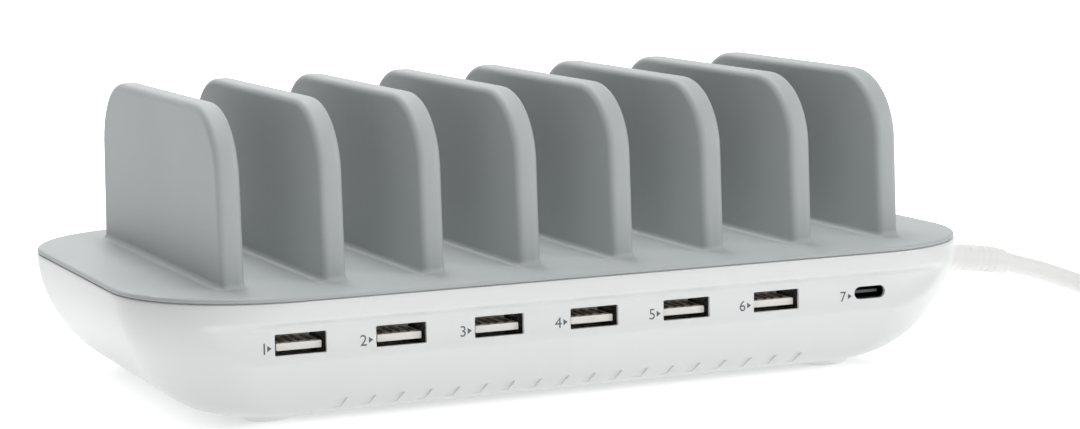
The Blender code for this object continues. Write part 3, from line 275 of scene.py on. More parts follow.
# %% Route of the cord
CORD_DIAMETER, TURN_PITCH = 5.2 * MM, 5.3 * MM
COIL_CENTRE = Vector((215.0, -56.65, 0)) * MM
COIL_OUTER_LINE, FIRST_LAYER_Z = 38.65 * MM, 3.5 * MM
TURNS, STEPS_PER_TURN = 7, 48
INWARD_TURNS, OUTWARD_TURNS = (0, 1, 2), (4, 5, 6)
INWARD_START, OUTWARD_START, STEP_SHARE = 0.70, 0.15, 0.30  # shares of a turn
CLIMB_START, CLIMB_LENGTH = 3.45, 0.25  # in turns
ROUTE_STEP = 3 * MM
LEAD = [(143.0, -18, 19.35), (145.3, -18, 18.9), (150, -18, 17.5), (156, -17.9, 15.85), (162, -17.7, 13.8),
        (168, -17.5, 11.6), (174, -17.3, 9.4), (180, -17.2, 7.4), (186, -17.25, 5.75), (192, -17.4, 4.55),
        (198, -17.65, 3.85), (204, -17.85, 3.55), (209.5, -17.97, 3.5)]
TAIL = [(222.8, -18.8, 8.97), (230.3, -21.2, 9.43), (237.2, -25.0, 10.14), (243.1, -30.1, 11.04),
        (247.9, -36.3, 12.07), (251.3, -43.4, 13.18), (253.2, -51.0, 14.32), (253.6, -58.9, 15.43),
        (252.3, -66.6, 16.46), (249.1, -73.7, 17.36), (243.8, -79.5, 18.07), (236.9, -83.2, 18.53),
        (229.2, -84.4, 18.7), (227.2, -84.4, 18.7)]


def eased(share):
    """A share from 0 to 1 that starts and ends slowly."""
    return 0.5 - 0.5 * math.cos(math.pi * min(1, max(0, share)))


def coil_point(turn):
    """Centre of the cord after so many turns: the lower layer winds inwards, the upper one outwards."""
    inwards = sum(eased((turn - n - INWARD_START) / STEP_SHARE) for n in INWARD_TURNS)
    outwards = sum(eased((turn - n - OUTWARD_START) / STEP_SHARE) for n in OUTWARD_TURNS)
    radius = COIL_OUTER_LINE - TURN_PITCH * (inwards - outwards)
    height = FIRST_LAYER_Z + TURN_PITCH * eased((turn - CLIMB_START) / CLIMB_LENGTH)
    angle = 2 * math.pi * turn
    return COIL_CENTRE + Vector((radius * math.sin(angle), radius * math.cos(angle), height))


def smooth_route(points):
    """Points about one step apart on a smooth curve through the given ones."""
    ends = [2 * points[0] - points[1], *points, 2 * points[-1] - points[-2]]
    route = [points[0]]
    for a, b, c, d in zip(ends, ends[1:], ends[2:], ends[3:]):
        count = max(1, round((c - b).length / ROUTE_STEP))
        for i in range(1, count + 1):
            t = i / count
            route.append((2 * b + (c - a) * t + (2 * a - 5 * b + 4 * c - d) * t**2
                          + (3 * b - a - 3 * c + d) * t**3) / 2)
    return route


coil = [coil_point(i / STEPS_PER_TURN) for i in range(TURNS * STEPS_PER_TURN + 1)]
lead, tail = ([Vector(point) * MM for point in points] for points in (LEAD, TAIL))
cord_route = smooth_route(lead + [coil[0]])[:-1] + coil + smooth_route([coil[-1]] + tail)[1:]
cord_length = sum((b - a).length for a, b in zip(cord_route, cord_route[1:]))
print("Cord", round(cord_length, 3), "m in", len(cord_route), "points")

# %% [markdown]
# A finished piece is a plain mesh that rides on the CAD body. Three helpers serve every piece and every
# Geometry Nodes tree below: one starts a tree with named inputs, one runs it on a mesh and keeps the result
# as a plain mesh, and one puts a finished mesh into the scene.

# %% Helpers for Geometry Nodes and for pieces
SHARP_DEGREES = 35


def new_tree(title, **inputs):
    """A Geometry Nodes tree with these inputs, as name=socket type. Returns it and its input node."""
    tree = bpy.data.node_groups.new(title, "GeometryNodeTree")
    tree.interface.new_socket("Geometry", in_out="INPUT", socket_type="NodeSocketGeometry")
    for name, kind in inputs.items():
        tree.interface.new_socket(name, in_out="INPUT", socket_type=kind)
    tree.interface.new_socket("Geometry", in_out="OUTPUT", socket_type="NodeSocketGeometry")
    return tree, add(tree, "NodeGroupInput")


def grown(name, mesh, tree, **values):
    """The plain mesh that a tree makes from a mesh, with its inputs set to these values."""
    holder = bpy.data.objects.new(name, mesh)
    scene.collection.objects.link(holder)
    modifier = holder.modifiers.new(name, "NODES")
    modifier.node_group = tree
    for socket in tree.interface.items_tree:
        if socket.in_out == "INPUT" and socket.name in values:
            modifier[socket.identifier] = values[socket.name]
    holder.update_tag()
    graph = bpy.context.evaluated_depsgraph_get()
    result = bpy.data.meshes.new_from_object(holder.evaluated_get(graph))
    bpy.data.objects.remove(holder)
    result.name = name
    return result


def new_piece(name, mesh, material, stands_for=()):
    """A finished mesh as a piece of the part: shaded, with its finish, riding on the one CAD body."""
    made = bpy.data.objects.new(name, mesh)
    scene.collection.objects.link(made)
    mesh.materials.clear()
    mesh.materials.append(material)
    mesh.polygons.foreach_set("material_index", [0] * len(mesh.polygons))
    mesh.shade_smooth()
    mesh.set_sharp_from_angle(angle=math.radians(SHARP_DEGREES))
    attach(made, "root")
    if stands_for:
        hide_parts(*stands_for)
    print(name, "has", sum(len(face.vertices) - 2 for face in mesh.polygons), "triangles")
    return made


print("Edges steeper than", SHARP_DEGREES, "degrees will stay sharp")

# %% [markdown]
# A cord is a circle carried along a line. Its route becomes a mesh of points joined by edges, and Curve to
# Mesh sweeps a ring along it and closes the ends. A curve object with a bevel would look the same, but this
# way the cord is a plain mesh like every other piece, and the connector's ribs use the same tree.

# %% Cord
CORD_SIDES = 20
sweep, given = new_tree("round_sweep", Radius="NodeSocketFloat", Sides="NodeSocketInt",
                        Finish="NodeSocketMaterial")
line = add(sweep, "GeometryNodeMeshToCurve", {0: given.outputs["Geometry"]})
ring = add(sweep, "GeometryNodeCurvePrimitiveCircle",
           {"Radius": given.outputs["Radius"], "Resolution": given.outputs["Sides"]})
swept = add(sweep, "GeometryNodeCurveToMesh",
            {"Curve": line.outputs[0], "Profile Curve": ring.outputs[0], "Fill Caps": True})
real = add(sweep, "GeometryNodeRealizeInstances", {0: swept.outputs[0]})
coated = add(sweep, "GeometryNodeSetMaterial",
             {"Geometry": real.outputs[0], "Material": given.outputs["Finish"]})
add(sweep, "NodeGroupOutput", {0: coated.outputs[0]})


def line_mesh(name, points):
    """Points joined by edges, one after the other."""
    mesh = bpy.data.meshes.new(name)
    mesh.from_pydata([tuple(point) for point in points], [(i, i + 1) for i in range(len(points) - 1)], [])
    return mesh


cord_mesh = grown("cord", line_mesh("cord_route", cord_route), sweep,
                  Radius=CORD_DIAMETER / 2, Sides=CORD_SIDES, Finish=white_pvc)
cord = new_piece("cord", cord_mesh, white_pvc, ["cord_lead", "cord_coil", "cord_tail"])

# %% [markdown]
# Most pieces below are lofts: a ring of points at each level, joined into a skin and closed at both ends. A
# turned piece is the special case of a round ring. The helpers make such skins, and cut one with another.

# %% Helpers for solids
def mesh_from(name, bm):
    """Keeps what an edit mesh holds as a mesh, and frees it."""
    mesh = bpy.data.meshes.new(name)
    bm.to_mesh(mesh)
    bm.free()
    return mesh


def loft(name, rings):
    """A closed skin through rings of points, capped on the first and the last."""
    bm = bmesh.new()
    rows = [[bm.verts.new(point) for point in ring] for ring in rings]
    for low, high in zip(rows, rows[1:]):
        for i in range(len(low)):
            j = (i + 1) % len(low)
            bm.faces.new((low[i], low[j], high[j], high[i]))
    bm.faces.new(list(reversed(rows[0])))
    bm.faces.new(rows[-1])
    bmesh.ops.recalc_face_normals(bm, faces=bm.faces)
    return mesh_from(name, bm)


def turned(name, profile, spots, steps=48):
    """Round solids about upright axes, from (radius, height) points that start and end on the axis."""
    bm = bmesh.new()
    angles = [2 * math.pi * i / steps for i in range(steps)]
    for x, y in spots:
        rows = []
        for radius, height in profile:
            if radius == 0:
                rows.append([bm.verts.new((x, y, height))] * steps)
            else:
                rows.append([bm.verts.new((x + radius * math.cos(a), y + radius * math.sin(a), height))
                             for a in angles])
        for low, high in zip(rows, rows[1:]):
            for i in range(steps):
                j = (i + 1) % steps
                bm.faces.new(list(dict.fromkeys((low[i], low[j], high[j], high[i]))))
    bmesh.ops.recalc_face_normals(bm, faces=bm.faces)
    return mesh_from(name, bm)


CORNERS = ((1, 1, 0), (-1, 1, 90), (-1, -1, 180), (1, -1, 270))  # sides in X and Y, first angle


def round_corners(width, height, radius, steps=6):
    """Outline of a rectangle with round corners, as (across, up) points."""
    points = []
    for side_x, side_y, start in CORNERS:
        for i in range(steps + 1):
            a = math.radians(start + 90 * i / steps)
            points.append((side_x * (width / 2 - radius) + radius * math.cos(a),
                           side_y * (height / 2 - radius) + radius * math.sin(a)))
    return points


def merged(name, meshes):
    """Several meshes as one."""
    bm = bmesh.new()
    for mesh in meshes:
        bm.from_mesh(mesh)
    return mesh_from(name, bm)


def cut(name, mesh, cutters):
    """The mesh that is left when the cutters are taken away from it."""
    both = ((name, mesh), ("knife", merged("knife", cutters)))
    holder, knife = (bpy.data.objects.new(title, data) for title, data in both)
    for one in (holder, knife):
        scene.collection.objects.link(one)
    modifier = holder.modifiers.new("cut", "BOOLEAN")
    modifier.operation, modifier.solver, modifier.object = "DIFFERENCE", "EXACT", knife
    graph = bpy.context.evaluated_depsgraph_get()
    result = bpy.data.meshes.new_from_object(holder.evaluated_get(graph))
    for one in (holder, knife):
        bpy.data.objects.remove(one)
    return result


print("A rectangle with round corners has", len(round_corners(2, 2, 1)), "points")

# %% [markdown]
# The casing is a boat hull. Seen from above, its outline is a rectangle with very full, soft corners; going
# down, the outline draws in, slowly at first and then faster, until it meets the flat underside. That is a
# rule, so it can be drawn at as many levels as the picture needs. The front is planed flat for the ports, and
# the plane starts under a soft crease.

# %% Form of the hull
FIT = 0.3 * MM
PITCH, PORT_COUNT, END_MARGIN = 25.12 * MM, 7, 24.6 * MM
LENGTH, DEPTH = PORT_COUNT * PITCH + 2 * END_MARGIN, 138.0 * MM
UNDERSIDE_Z, HULL_HEIGHT, WALL = 2.0 * MM, 30.8 * MM, 2.2 * MM
RIM_Z = UNDERSIDE_Z + HULL_HEIGHT
END_TUCK, END_CURVE = 24.8 * MM, 1.74
FRONT_TUCK, FRONT_CURVE = 22.8 * MM, 1.305
RIM_CORNER, UNDERSIDE_CORNER, CORNER_FULLNESS = 35.0 * MM, 14.0 * MM, 2.0
CORNER_STEPS = 28
PANEL_INSET = 7.42 * MM
PANEL_Y = PANEL_INSET - DEPTH / 2
PORT_Z = 21.78 * MM
CREASE_RISE, CREASE_HEIGHT = 4.0 * MM, 2.2 * MM
CREASE_Z = PORT_Z + CREASE_RISE
PANEL_FOOT = (1 - (1 - PANEL_INSET / FRONT_TUCK) ** FRONT_CURVE) ** (1 / FRONT_CURVE)


def quarter_turn(steps):
    """Angles from nothing to a quarter turn."""
    return [math.pi / 2 * i / steps for i in range(steps + 1)]


def tuck(share, amount, curve):
    """How far the skin has drawn in at a share of the way from the rim to the underside."""
    return amount * (1 - (1 - share**curve) ** (1 / curve))


def outline(half_x, half_y, corner, z):
    """The casing's plan at a height, with its full corners."""
    points = []
    for side_x, side_y in ((1, -1), (1, 1), (-1, 1), (-1, -1)):
        for a in quarter_turn(CORNER_STEPS):
            if side_x * side_y > 0:
                a = math.pi / 2 - a
            x = half_x - corner + corner * math.sin(a) ** (2 / CORNER_FULLNESS)
            y = half_y - corner + corner * abs(math.cos(a)) ** (2 / CORNER_FULLNESS)
            points.append((side_x * x, side_y * y, z))
    return points


def planed(y, z, wall):
    """The same Y, or the port panel's where the skin would stand in front of it, blended at the crease."""
    share = eased((CREASE_Z + CREASE_HEIGHT - z) / CREASE_HEIGHT)
    plane = PANEL_Y + wall
    return y + share * (max(y, plane) - y)


def hull_ring(share, wall):
    """The skin's outline at a share of the way down, or the inner skin's, a wall further in."""
    half_x = LENGTH / 2 - tuck(share, END_TUCK, END_CURVE) - wall
    half_y = DEPTH / 2 - tuck(share, FRONT_TUCK, FRONT_CURVE) - wall
    corner = RIM_CORNER + (UNDERSIDE_CORNER - RIM_CORNER) * share - wall
    z = RIM_Z - share * (HULL_HEIGHT - wall)
    return [(x, planed(y, z, wall), z) for x, y, z in outline(half_x, half_y, corner, z)]


def share_at(z):
    """The share of the way down at a height."""
    return (RIM_Z - z) / HULL_HEIGHT


print("Casing", round(LENGTH / MM, 2), "by", round(DEPTH / MM, 1), "by", round(HULL_HEIGHT / MM, 1), "mm")

# %% [markdown]
# The skin is a loft through many outlines, far more than the CAD model needs, and they lie closest where the
# form turns quickly. It goes up the outside, over the rim's rounded edge and down the inside, so the wall is
# one closed solid that a Boolean can cut. A Solidify modifier could thicken one skin instead, but such a
# wall can fold over itself where a bend is tighter than the wall is thick.

# %% Skin of the hull
RIM_ROUNDING, RIM_MIDDLE = 0.4 * MM, 0.12 * MM  # the rim's edge, and its middle ring
ABOVE_CREASE, IN_CREASE, DOWN_PANEL, BELOW_PANEL, INSIDE = 6, 8, 6, 32, 8  # levels


def between(first, last, count):
    return [first + (last - first) * i / count for i in range(count + 1)]


crease_top, crease_foot = share_at(CREASE_Z + CREASE_HEIGHT), share_at(CREASE_Z)
levels = between(share_at(RIM_Z - RIM_ROUNDING), crease_top, ABOVE_CREASE)[:-1]
levels += between(crease_top, crease_foot, IN_CREASE)[:-1] + between(crease_foot, PANEL_FOOT, DOWN_PANEL)[:-1]
levels += [PANEL_FOOT + (1 - PANEL_FOOT) * math.sin(a) for a in quarter_turn(BELOW_PANEL)]
rim = [
    outline(LENGTH / 2 - inset, DEPTH / 2 - inset, RIM_CORNER - inset, RIM_Z - drop)
    for inset, drop in ((RIM_ROUNDING, 0), (RIM_MIDDLE, RIM_MIDDLE))
]
outer = rim + [hull_ring(share, 0) for share in levels]
inner_levels = (*between(1, crease_foot, INSIDE), crease_top, crease_top / 2, 0)
inner = [hull_ring(share, WALL) for share in inner_levels]
hull = loft("hull", list(reversed(outer)) + list(reversed(inner)))
print("Hull of", len(outer), "levels, and its inside of", len(inner))

# %% [markdown]
# Ports, vents and dividers repeat at an even pitch. One Geometry Nodes tree makes every such row: a line of
# points with a copy of one mesh on each. A loop that copies objects would work too, but here the count, the
# first place and the step are plain inputs of one tree. Only the last port, the USB-C one, is out of step.

# %% Row of copies
row, given = new_tree("row_of_copies", Count="NodeSocketInt", First="NodeSocketVector",
                      Step="NodeSocketVector", Finish="NodeSocketMaterial")
places = add(row, "GeometryNodeMeshLine", {
    "Count": given.outputs["Count"], "Start Location": given.outputs["First"],
    "Offset": given.outputs["Step"]})
copies = add(row, "GeometryNodeInstanceOnPoints",
             {"Points": places.outputs[0], "Instance": given.outputs["Geometry"]})
real = add(row, "GeometryNodeRealizeInstances", {0: copies.outputs[0]})
coated = add(row, "GeometryNodeSetMaterial",
             {"Geometry": real.outputs[0], "Material": given.outputs["Finish"]})
add(row, "NodeGroupOutput", {0: coated.outputs[0]})
PORT_PITCH, C_SHIFT = 25.0 * MM, 1.8 * MM
PORT_XS = [(i - (PORT_COUNT - 1) / 2) * PORT_PITCH for i in range(PORT_COUNT)]
PORT_XS[-1] += C_SHIFT


def copies_of(name, mesh, material, count, first_x, step_x=PORT_PITCH):
    """Equal copies of a mesh in a row along X."""
    return grown(name, mesh, row, Count=count, First=(first_x, 0.0, 0.0), Step=(step_x, 0.0, 0.0),
                 Finish=material)


print("Ports at", [round(x / MM, 1) for x in PORT_XS], "mm")

# %% [markdown]
# The openings are cut with a Boolean, as a milling cutter would: one knife for each port, all at once. The
# wall behind the panel is thinned first, where a socket stands against it. The Boolean also makes the sharp
# inner edges that a real moulding has there, which would take many extra rings in the loft.

# %% Openings in the casing
def bar(name, loop, front, back, x=0, z=0):
    """An outline in the XZ plane made a bar from front to back."""
    return loft(name, [[(x + across, y, z + up) for across, up in loop] for y in (front, back)])


PORT_WIDTH, PORT_HEIGHT, PORT_WALL = 12.7 * MM, 5.1 * MM, 0.8 * MM
SHELL_WIDTH, SHELL_HEIGHT, SHELL_DEPTH = 13.4 * MM, 5.9 * MM, 14.0 * MM
MOUTH_CORNER, POCKET_CORNER, HAIR = 0.35 * MM, 0.3 * MM, 0.01 * MM
C_WIDTH, C_HEIGHT, C_STEPS = 8.94 * MM, 3.2 * MM, 10
INLET_Y, INLET_WIDTH, INLET_HEIGHT = -18.0 * MM, 18.0 * MM, 11.5 * MM
INLET_CORNER, INLET_REACH = 0.6 * MM, 12 * MM
CLEAR = 2.0 * MM  # how far a knife passes what it cuts
PANEL_BACK = PANEL_Y + WALL + CLEAR
INLET_FACE_X = LENGTH / 2 - tuck(share_at(PORT_Z - INLET_HEIGHT / 2), END_TUCK, END_CURVE) - FIT
mouth = bar("mouth", round_corners(PORT_WIDTH, PORT_HEIGHT, MOUTH_CORNER),
            PANEL_Y - CLEAR, PANEL_BACK, 0, PORT_Z)
pocket = bar("pocket", round_corners(SHELL_WIDTH + 2 * FIT, SHELL_HEIGHT + 2 * FIT, POCKET_CORNER),
             PANEL_Y + PORT_WALL, PANEL_BACK, 0, PORT_Z)
c_mouth = bar("c_mouth", round_corners(C_WIDTH, C_HEIGHT, C_HEIGHT / 2 - HAIR, C_STEPS),
              PANEL_Y - CLEAR, PANEL_BACK, PORT_XS[-1], PORT_Z)
c_pocket = bar("c_pocket", round_corners(C_WIDTH + 2 * FIT, C_HEIGHT + 2 * FIT, C_HEIGHT / 2, C_STEPS),
               PANEL_Y + PORT_WALL, PANEL_BACK, PORT_XS[-1], PORT_Z)
inlet_loop = round_corners(INLET_WIDTH + 2 * FIT, INLET_HEIGHT + 2 * FIT, INLET_CORNER)
inlet_knife = loft("inlet_knife", [
    [(x, INLET_Y + across, PORT_Z + up) for across, up in inlet_loop]
    for x in (INLET_FACE_X - INLET_REACH, LENGTH / 2 + CLEAR)
])
mouths, pockets = (copies_of(name, mesh, white_abs, PORT_COUNT - 1, PORT_XS[0])
                   for name, mesh in (("mouths", mouth), ("pockets", pocket)))
hull = cut("hull", hull, [pockets, c_pocket])
hull = cut("hull", hull, [mouths, c_mouth, inlet_knife])
print("Seven ports and the inlet are cut")

# %% [markdown]
# A row of slots along the lower front edge cools the power supply. The CAD model cuts them right through the
# wall. In the picture they are nearly as white as the casing, so here each is a shallow recess instead. It
# gets deeper towards its upper end, and leans a little to the right.

# %% Vent slots
VENT_COUNT, VENT_PITCH, VENT_WIDTH, VENT_SLANT = 18, 7.23 * MM, 2.0 * MM, 0.4 * MM
VENTS_MIDDLE_X = -0.3 * MM
VENT_LOW, VENT_HIGH = 1.2 * MM, 4.0 * MM  # above the underside
SINK_LOW, SINK_HIGH = 0.08 * MM, 0.55 * MM


def front_at(z):
    """Y of the casing's front skin at a height, in the middle of its length."""
    return tuck(share_at(z), FRONT_TUCK, FRONT_CURVE) - DEPTH / 2


vent_low, vent_high = (
    Vector((x, front_at(z), z))
    for x, z in ((-VENT_SLANT, UNDERSIDE_Z + VENT_LOW), (VENT_SLANT, UNDERSIDE_Z + VENT_HIGH))
)
chord = vent_high - vent_low
outwards = Vector((0, -chord.z, chord.y)).normalized()
side = Vector((VENT_WIDTH / 2, 0, 0))
vent = loft("vent", [
    [vent_low + low - side, vent_low + low + side, vent_high + high + side, vent_high + high - side]
    for low, high in ((outwards * -SINK_LOW, outwards * -SINK_HIGH), (outwards * CLEAR, outwards * CLEAR))
])
vents = copies_of("vents", vent, white_abs, VENT_COUNT, VENTS_MIDDLE_X - (VENT_COUNT - 1) / 2 * VENT_PITCH,
                  VENT_PITCH)
hull = cut("hull", hull, [vents])
print(VENT_COUNT, "vent slots,", round(chord.length / MM, 1), "mm long")

# %% [markdown]
# Four shallow bosses under the casing hold the feet. In the photograph they swell gently out of the
# underside, so each is a turned form with a hollow for its rubber pad. The posts that take the case screws
# are inside, and turned too. The CAD model also has screw holes and the standoffs under the boards; they
# don't show, so they aren't drawn again here.

# %% Feet bosses, posts and the finished casing
FOOT_X, FOOT_Y, FOOT_STEPS = 76.12 * MM, 36.8 * MM, 64
FOOT_SPOTS = [(x, y) for x in (-FOOT_X, FOOT_X) for y in (-FOOT_Y, FOOT_Y)]
POST_RADIUS, POST_FOOT_Z, POST_BEVEL = 4.6 * MM, 4.0 * MM, 0.3 * MM
POST_DROP = 14.0 * MM
POST_Z = RIM_Z - POST_DROP
# Radius and height in mm, from the middle outwards and back
BOSS = [(0, 1.9), (5.3, 1.9), (5.3, 0.42), (5.42, 0.3), (5.9, 0.3), (6.3, 0.36), (6.7, 0.54), (7.1, 0.82),
        (7.6, 1.18), (8.1, 1.52), (8.6, 1.78), (9.1, 1.95), (9.3, 2.0), (9.3, 2.6), (0, 2.6)]
PAD = [(0, 0), (3.4, 0), (4.0, 0.06), (4.5, 0.25), (4.85, 0.55), (5.0, 1.0), (5.0, 1.6), (0, 1.6)]
bosses, pads = (
    turned(name, [(radius * MM, height * MM) for radius, height in profile], FOOT_SPOTS, FOOT_STEPS)
    for name, profile in (("bosses", BOSS), ("foot_pads", PAD))
)
posts = turned("posts", [(0, POST_FOOT_Z), (POST_RADIUS, POST_FOOT_Z), (POST_RADIUS, POST_Z - POST_BEVEL),
                         (POST_RADIUS - POST_BEVEL, POST_Z), (0, POST_Z)], FOOT_SPOTS)
new_piece("casing", merged("casing", [hull, bosses, posts]), white_abs, ["base_casing"])
new_piece("foot_pads", pads, foot_rubber, [f"rubber_foot_{n}" for n in range(1, 5)])

# %% [markdown]
# The cover's deck is a plate with the same outline as the casing's rim and a rounded upper edge. The ring
# just inside that edge keeps the flat part's shading flat. Under the edge, a shallow groove makes the seam
# line.

# %% Deck plate
SEAM_Z, SEAT_Z = RIM_Z + FIT, RIM_Z + 0.04 * MM
DECK_RISE, DECK_WALL, DECK_ROUNDING = 1.0 * MM, 2.2 * MM, 0.74 * MM
DECK_Z = SEAM_Z + DECK_RISE
EDGE_STEPS, LOWER_BEVEL, FLAT_MARGIN = 8, 0.1 * MM, 0.8 * MM
GROOVE_DEPTH = 0.6 * MM
LIP_INSET, LIP_DEPTH, LIP_WALL = 3.4 * MM, 2.5 * MM, 1.6 * MM


def deck_ring(inset, z):
    return outline(LENGTH / 2 - inset, DEPTH / 2 - inset, RIM_CORNER - inset, z)


shoulder = DECK_Z - DECK_ROUNDING
rounding = [
    (DECK_ROUNDING * (1 - math.cos(a)), shoulder + DECK_ROUNDING * math.sin(a))
    for a in quarter_turn(EDGE_STEPS)
]
edge = [(LOWER_BEVEL, SEAM_Z), (0, SEAM_Z + LOWER_BEVEL), *rounding]
lip_back = LIP_INSET + LIP_WALL
rings = [(DECK_ROUNDING + FLAT_MARGIN, DECK_Z), *reversed(edge), (GROOVE_DEPTH, SEAM_Z),
         (GROOVE_DEPTH, SEAT_Z), (LIP_INSET, SEAT_Z), (LIP_INSET, SEAM_Z - LIP_DEPTH),
         (lip_back, SEAM_Z - LIP_DEPTH), (lip_back, DECK_Z - DECK_WALL)]
deck = loft("deck", [deck_ring(inset, z) for inset, z in rings])
print("Deck plate of", len(rings), "rings")

# %% [markdown]
# A divider is a slab 6 mm thick that narrows a little towards its top, with two large round corners and a
# rounded edge all the way round. One side view, drawn again and again with a growing inset, gives the skin,
# and Geometry Nodes sets eight equal copies in a row. A small fillet joins each one to the deck, as a mould
# always has. The CAD model's dividers are hollow from below; that doesn't show, so these are solid.

# %% One divider
DIVIDER_HEIGHT, DIVIDER_DEPTH, DIVIDER_THICK = 42.4 * MM, 104.5 * MM, 6.0 * MM
DIVIDER_CORNER, DIVIDER_ROUNDING, FILLET = 18.0 * MM, 1.8 * MM, 1.4 * MM
FRONT_LEAN, BACK_LEAN = 1.8 * MM, 2.2 * MM
SLOPES = ((-1, FRONT_LEAN / DIVIDER_HEIGHT), (1, BACK_LEAN / DIVIDER_HEIGHT))
SIDE_STEPS, PLAN_STEPS, ROUND_STEPS = 14, 6, 7
FLAT_HALF = DIVIDER_THICK / 2 - DIVIDER_ROUNDING
FLAT_RING = 0.5 * MM  # further in than the rounding, to keep the side's shading flat
FILLET_INSIDE, FILLET_SINK = 0.3 * MM, 0.5 * MM  # where the fillet ends, in the divider and in the deck


def divider_side(inset, foot):
    """Side view of a divider as (y, z) points."""
    half, top, corner = DIVIDER_DEPTH / 2 - inset, DECK_Z + DIVIDER_HEIGHT - inset, DIVIDER_CORNER - inset
    points = []
    for side, slope in SLOPES:
        edge = half - slope * (top - corner - DECK_Z)
        arc = []
        for a in quarter_turn(SIDE_STEPS):
            y = edge - corner + corner * math.cos(a) - slope * corner * math.sin(a) * (1 - math.cos(a))
            arc.append((side * y, top - corner + corner * math.sin(a)))
        run = [(side * (half + slope * (DECK_Z - foot)), foot), *arc]
        points += run if side < 0 else list(reversed(run))
    return points


def divider_plan(out, z):
    """Plan of a divider's foot, grown outwards, with its rounded upright edges."""
    ends = {side: DIVIDER_DEPTH / 2 - slope * (z - DECK_Z) for side, slope in SLOPES}
    points = []
    radius = DIVIDER_ROUNDING + out
    for side_x, side_y, start in CORNERS:
        for i in range(PLAN_STEPS + 1):
            a = math.radians(start + 90 * i / PLAN_STEPS)
            points.append((side_x * FLAT_HALF + radius * math.cos(a),
                           side_y * (ends[side_y] - DIVIDER_ROUNDING) + radius * math.sin(a), z))
    return points


quarter = quarter_turn(ROUND_STEPS)
half_skin = [(FLAT_HALF + DIVIDER_ROUNDING * math.sin(a), DIVIDER_ROUNDING * (1 - math.cos(a)))
             for a in quarter]
half_skin.append((DIVIDER_THICK / 2, DIVIDER_ROUNDING + FLAT_RING))
skin = [(-x, inset) for x, inset in reversed(half_skin)] + half_skin
root = DECK_Z - DECK_WALL / 2
divider = loft("divider", [[(x, y, z) for y, z in divider_side(inset, root)] for x, inset in skin])
fillet_rings = [
    (-FILLET_INSIDE, FILLET),
    *((FILLET * (1 - math.cos(a)) - HAIR, FILLET * (1 - math.sin(a))) for a in quarter),
    (FILLET, -FILLET_SINK),
]
fillet = loft("fillet", [divider_plan(out, DECK_Z + up) for out, up in fillet_rings])
dividers = copies_of("dividers", merged("divider", [divider, fillet]), grey_abs, PORT_COUNT + 1,
                     -PORT_COUNT / 2 * PITCH, PITCH)
post_top = POST_Z + FIT
deck_posts = turned("deck_posts", [(0, post_top), (POST_RADIUS, post_top), (POST_RADIUS, root), (0, root)],
                    FOOT_SPOTS)
new_piece("cover", merged("cover", [deck, dividers, deck_posts]), grey_abs, ["deck_cover"])

# %% [markdown]
# Each USB-A socket is a folded steel shell with a white plastic tongue near its floor, and four springy
# contacts lie on the tongue. From the front the shell reads as a black frame round the tongue. All six are
# equal, so one of each is built and copied. The USB-C socket is the CAD model's, with finishes of its own.

# %% Sockets
SHELL_Y = PANEL_Y + PORT_WALL + FIT
SHELL_WALL, SHELL_BACK = 0.35 * MM, 0.4 * MM
SHELL_CORNER, SHELL_INNER_CORNER = 0.75 * MM, 0.4 * MM
TONGUE_WIDTH, TONGUE_THICK, TONGUE_DROP, TONGUE_SETBACK = 11.1 * MM, 1.7 * MM, 0.73 * MM, 0.5 * MM
TONGUE_CORNER, TONGUE_STEPS = 0.2 * MM, 4
TONGUE_END, ROOT_START, ROOT_END, ROOT_GAP = 10 * MM, 9.2 * MM, 13.2 * MM, 0.7 * MM
CONTACT_XS = (-3.5 * MM, -1.0 * MM, 1.0 * MM, 3.5 * MM)
CONTACT_WIDTH, CONTACT_THICK, CONTACT_CORNER, CONTACT_STEPS = 1.1 * MM, 0.3 * MM, 0.1 * MM, 2
CONTACT_SETBACK, CONTACT_LIFT = 0.9 * MM, 0.05 * MM
TONGUE_Y = SHELL_Y + TONGUE_SETBACK
outer_loop = round_corners(SHELL_WIDTH, SHELL_HEIGHT, SHELL_CORNER)
inner_loop = round_corners(SHELL_WIDTH - 2 * SHELL_WALL, SHELL_HEIGHT - 2 * SHELL_WALL, SHELL_INNER_CORNER)
shell = loft("shell", [
    [(across, y, PORT_Z + up) for across, up in loop]
    for loop, y in ((outer_loop, SHELL_Y + SHELL_DEPTH), (outer_loop, SHELL_Y), (inner_loop, SHELL_Y),
                    (inner_loop, SHELL_Y + SHELL_DEPTH - SHELL_BACK))
])
tongue = bar("tongue", round_corners(TONGUE_WIDTH, TONGUE_THICK, TONGUE_CORNER, TONGUE_STEPS),
             TONGUE_Y, SHELL_Y + TONGUE_END, 0, PORT_Z - TONGUE_DROP)
root_block = bar("root_block",
                 round_corners(TONGUE_WIDTH, SHELL_HEIGHT - 2 * ROOT_GAP, TONGUE_CORNER, TONGUE_STEPS),
                 SHELL_Y + ROOT_START, SHELL_Y + ROOT_END, 0, PORT_Z)
tongue_top = PORT_Z - TONGUE_DROP + TONGUE_THICK / 2
contact_loop = round_corners(CONTACT_WIDTH, CONTACT_THICK, CONTACT_CORNER, CONTACT_STEPS)
contacts = [
    bar("contact", contact_loop, TONGUE_Y + CONTACT_SETBACK, SHELL_Y + ROOT_START, x,
        tongue_top + CONTACT_LIFT)
    for x in CONTACT_XS
]
